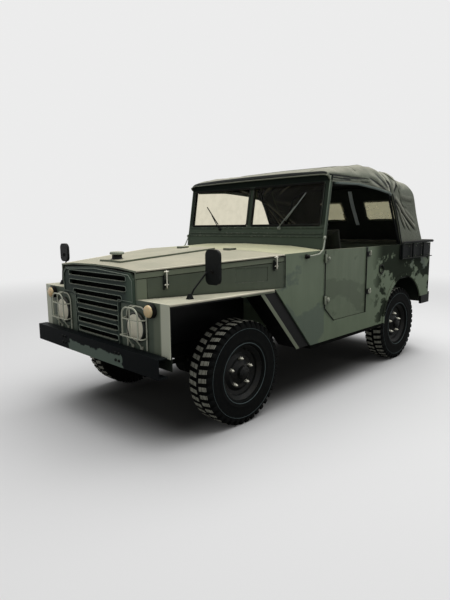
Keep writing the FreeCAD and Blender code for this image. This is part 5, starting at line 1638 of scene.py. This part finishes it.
def cabin_details():
    """Gauges, levers and pedals at the left-hand driver's place."""
    with drawn("gauges", black_plastic) as bm:
        plate(bm, upright(850.5, 180, 560, 1090, 1205, 14, 4), BACK, 5.0)
        for x, z, size in ((368, 1150, 46), (262, 1150, 30), (474, 1150, 30), (212, 1180, 10),
                           (212, 1120, 10), (526, 1180, 10), (526, 1120, 10)):
            turned(bm, (x, 855, z), BACK,
                   [(0, size), (9, size), (12, size - 3), (12, size - 6), (4, size - 8), (4, 0)])
    knob = ((0, 9), (8, 18), (20, 23), (32, 20), (40, 9), (42, 0))
    with drawn("levers", black) as bm:
        tube(bm, [(-560, 851, 1160), (-560, 905, 1160), (-300, 905, 1160), (-300, 851, 1160)], 10, 24)
        for x, y, z, lean in ((70, 890, 950, 60), (150, 930, 860, 30), (-60, 1010, 830, -10)):     # top
            tube(bm, [(x - lean, y - 40, 621), (x - lean * 0.5, y - 20, 740), (x, y, z)], 8, 60)
            turned(bm, (x, y, z - 6), (0, 0.1, 1), knob, 20)
    with drawn("pedals", black_plastic) as bm:
        for x, size in ((290, 34), (385, 34), (480, 26)):
            tube(bm, [(x, 425, 930), (x, 470, 850), (x, 545, 760)], 8, 40)
            outline = rounded_outline(-size, size, -30, 30, 8, 4)
            plate(bm, [(x + u, 545 + v * 0.5, 760 + v * 0.86) for u, v in outline],
                  (0, 0.86, 0.5), 8.0, 1.5)


def spring_clips():
    """U-bolts that hold the leaf springs to the axles, and the bands round the leaves."""
    top, base = axle_z + 95, axle_z + 40
    with drawn("spring_clips", cast) as bm:
        for y0 in (0.0, wheelbase):
            for side in (-1, 1):
                for y in (-30, 30):
                    tube(bm, [(side * x, y0 + y, z) for x, z in
                              ((326, base), (326, top), (394, top), (394, base))], 6, 12)
                for y in (-200, 200):
                    block(bm, side * 360 - 30, side * 360 + 30, y0 + y - 10, y0 + y + 10,
                          axle_z + 53, axle_z + 78)


header_seal()
slot_edges()
nose_seals()
edge_beads()
for side, name in SIDES:
    bonnet_catch(side, -530.0, 1046.0, 1163.0, "front_" + name)
    bonnet_catch(side, 290.0, 1130.0, 1226.0, "rear_" + name)
wipers()
screen_clamps()
door_fittings()
mirror_faces()
cap_trim()
side_trims()
tail_details()
cabin_details()
spring_clips()


# ---- stage, light and camera --------------------------------------------------------------------
pale, ambient = 0.84, 0.42                      # surroundings to the camera, and as light
floor_reach = 60.0
fade = (3.2, 11.0)                              # from the car's middle, where the floor turns pale
shade_half, shade_ends, shade_soft = 0.45, 0.30, 0.55   # the painted shadow under the car


def stage():
    """A pale floor that fades into the pale surroundings, with a painted shadow under the car."""
    mesh = bpy.data.meshes.new("floor")
    corners = [(x * floor_reach, y * floor_reach, 0) for x, y in ((-1, -1), (1, -1), (1, 1), (-1, 1))]
    mesh.from_pydata(corners, [], [(0, 1, 2, 3)])
    floor = bpy.data.objects.new("floor", mesh)
    bpy.context.scene.collection.objects.link(floor)
    material = bpy.data.materials.new("pale_floor")
    material.use_nodes = True
    t = Tree(material.node_tree)
    far = t.ramp(t.out("Value", "VectorMath", {"operation": "LENGTH"}, t.place()), *fade)
    x, y, _ = t.axes()
    half_y = 0.5 * wheelbase * MM
    over_x = t.most(abs(x) - shade_half, 0.0)
    over_y = t.most(abs(y - (front_axle + half_y)) - (half_y + shade_ends), 0.0)
    # painted shadow: the floor darkens under the car
    under = t.ramp(t.math("SQRT", over_x * over_x + over_y * over_y), shade_soft, 0.0)
    seen = t.out("Is Camera Ray", "LightPath")
    lit = t.mix(under, (0.76, 0.76, 0.76, 1), (0.10, 0.10, 0.095, 1))
    matt = t.out(0, "BsdfDiffuse", Color=t.mix(seen, (0.2, 0.2, 0.195, 1), lit))
    glow = t.out(0, "Emission", Color=(pale, pale, pale, 1), Strength=1.0)
    t.node("OutputMaterial", Surface=t.out(0, "MixShader", None, far, matt, glow))
    mesh.materials.append(material)


def surroundings():
    """Pale to the camera and in reflections, softer where it lights the car."""
    world = bpy.data.worlds.new("studio")
    bpy.context.scene.world = world
    world.use_nodes = True
    t = Tree(world.node_tree)
    ray = t.node("LightPath").outputs
    camera_ray, glossy, through = (Wire(t, ray["Is %s Ray" % kind])
                                   for kind in ("Camera", "Glossy", "Transmission"))
    strength = t.ramp(t.most(t.most(camera_ray, glossy), through), 0.0, 1.0, ambient, pale, smooth=False)
    t.node("OutputWorld", Surface=t.out(0, "Background", Color=(1.0, 1.0, 1.0, 1), Strength=strength))


def lamp(name, place, target, size, power):
    light = bpy.data.lights.new(name, "AREA")
    light.shape = "RECTANGLE"
    light.size, light.size_y = size
    light.energy = power
    lit = bpy.data.objects.new(name, light)
    lit.location = place
    lit.rotation_mode = "QUATERNION"
    lit.rotation_quaternion = (Vector(target) - Vector(place)).to_track_quat("-Z", "Y")
    bpy.context.scene.collection.objects.link(lit)


def camera():
    place = Vector((3.067, front_axle - 2.474, 1.452))
    yaw, pitch, roll = math.radians(45.023), math.radians(-8.81), math.radians(-0.519)
    ahead = Vector((-math.sin(yaw) * math.cos(pitch), math.cos(yaw) * math.cos(pitch), math.sin(pitch)))
    level = Vector((math.cos(yaw), math.sin(yaw), 0))
    over = level.cross(ahead)
    right = level * math.cos(roll) + over * math.sin(roll)
    up = over * math.cos(roll) - level * math.sin(roll)
    data = bpy.data.cameras.new("camera")
    data.sensor_width = 36.0
    data.lens = 28.55
    data.clip_start, data.clip_end = 0.05, 200.0
    eye = bpy.data.objects.new("camera", data)
    eye.matrix_world = Matrix.Translation(place) @ Matrix((right, up, -ahead)).transposed().to_4x4()
    bpy.context.scene.collection.objects.link(eye)
    bpy.context.scene.camera = eye


stage()
surroundings()
lamp("key", (0.8, 1.2, 7.6), (0.0, -0.2, 0.6), (9.0, 9.0), 620)
camera()
bpy.context.scene.view_settings.view_transform = "Standard"
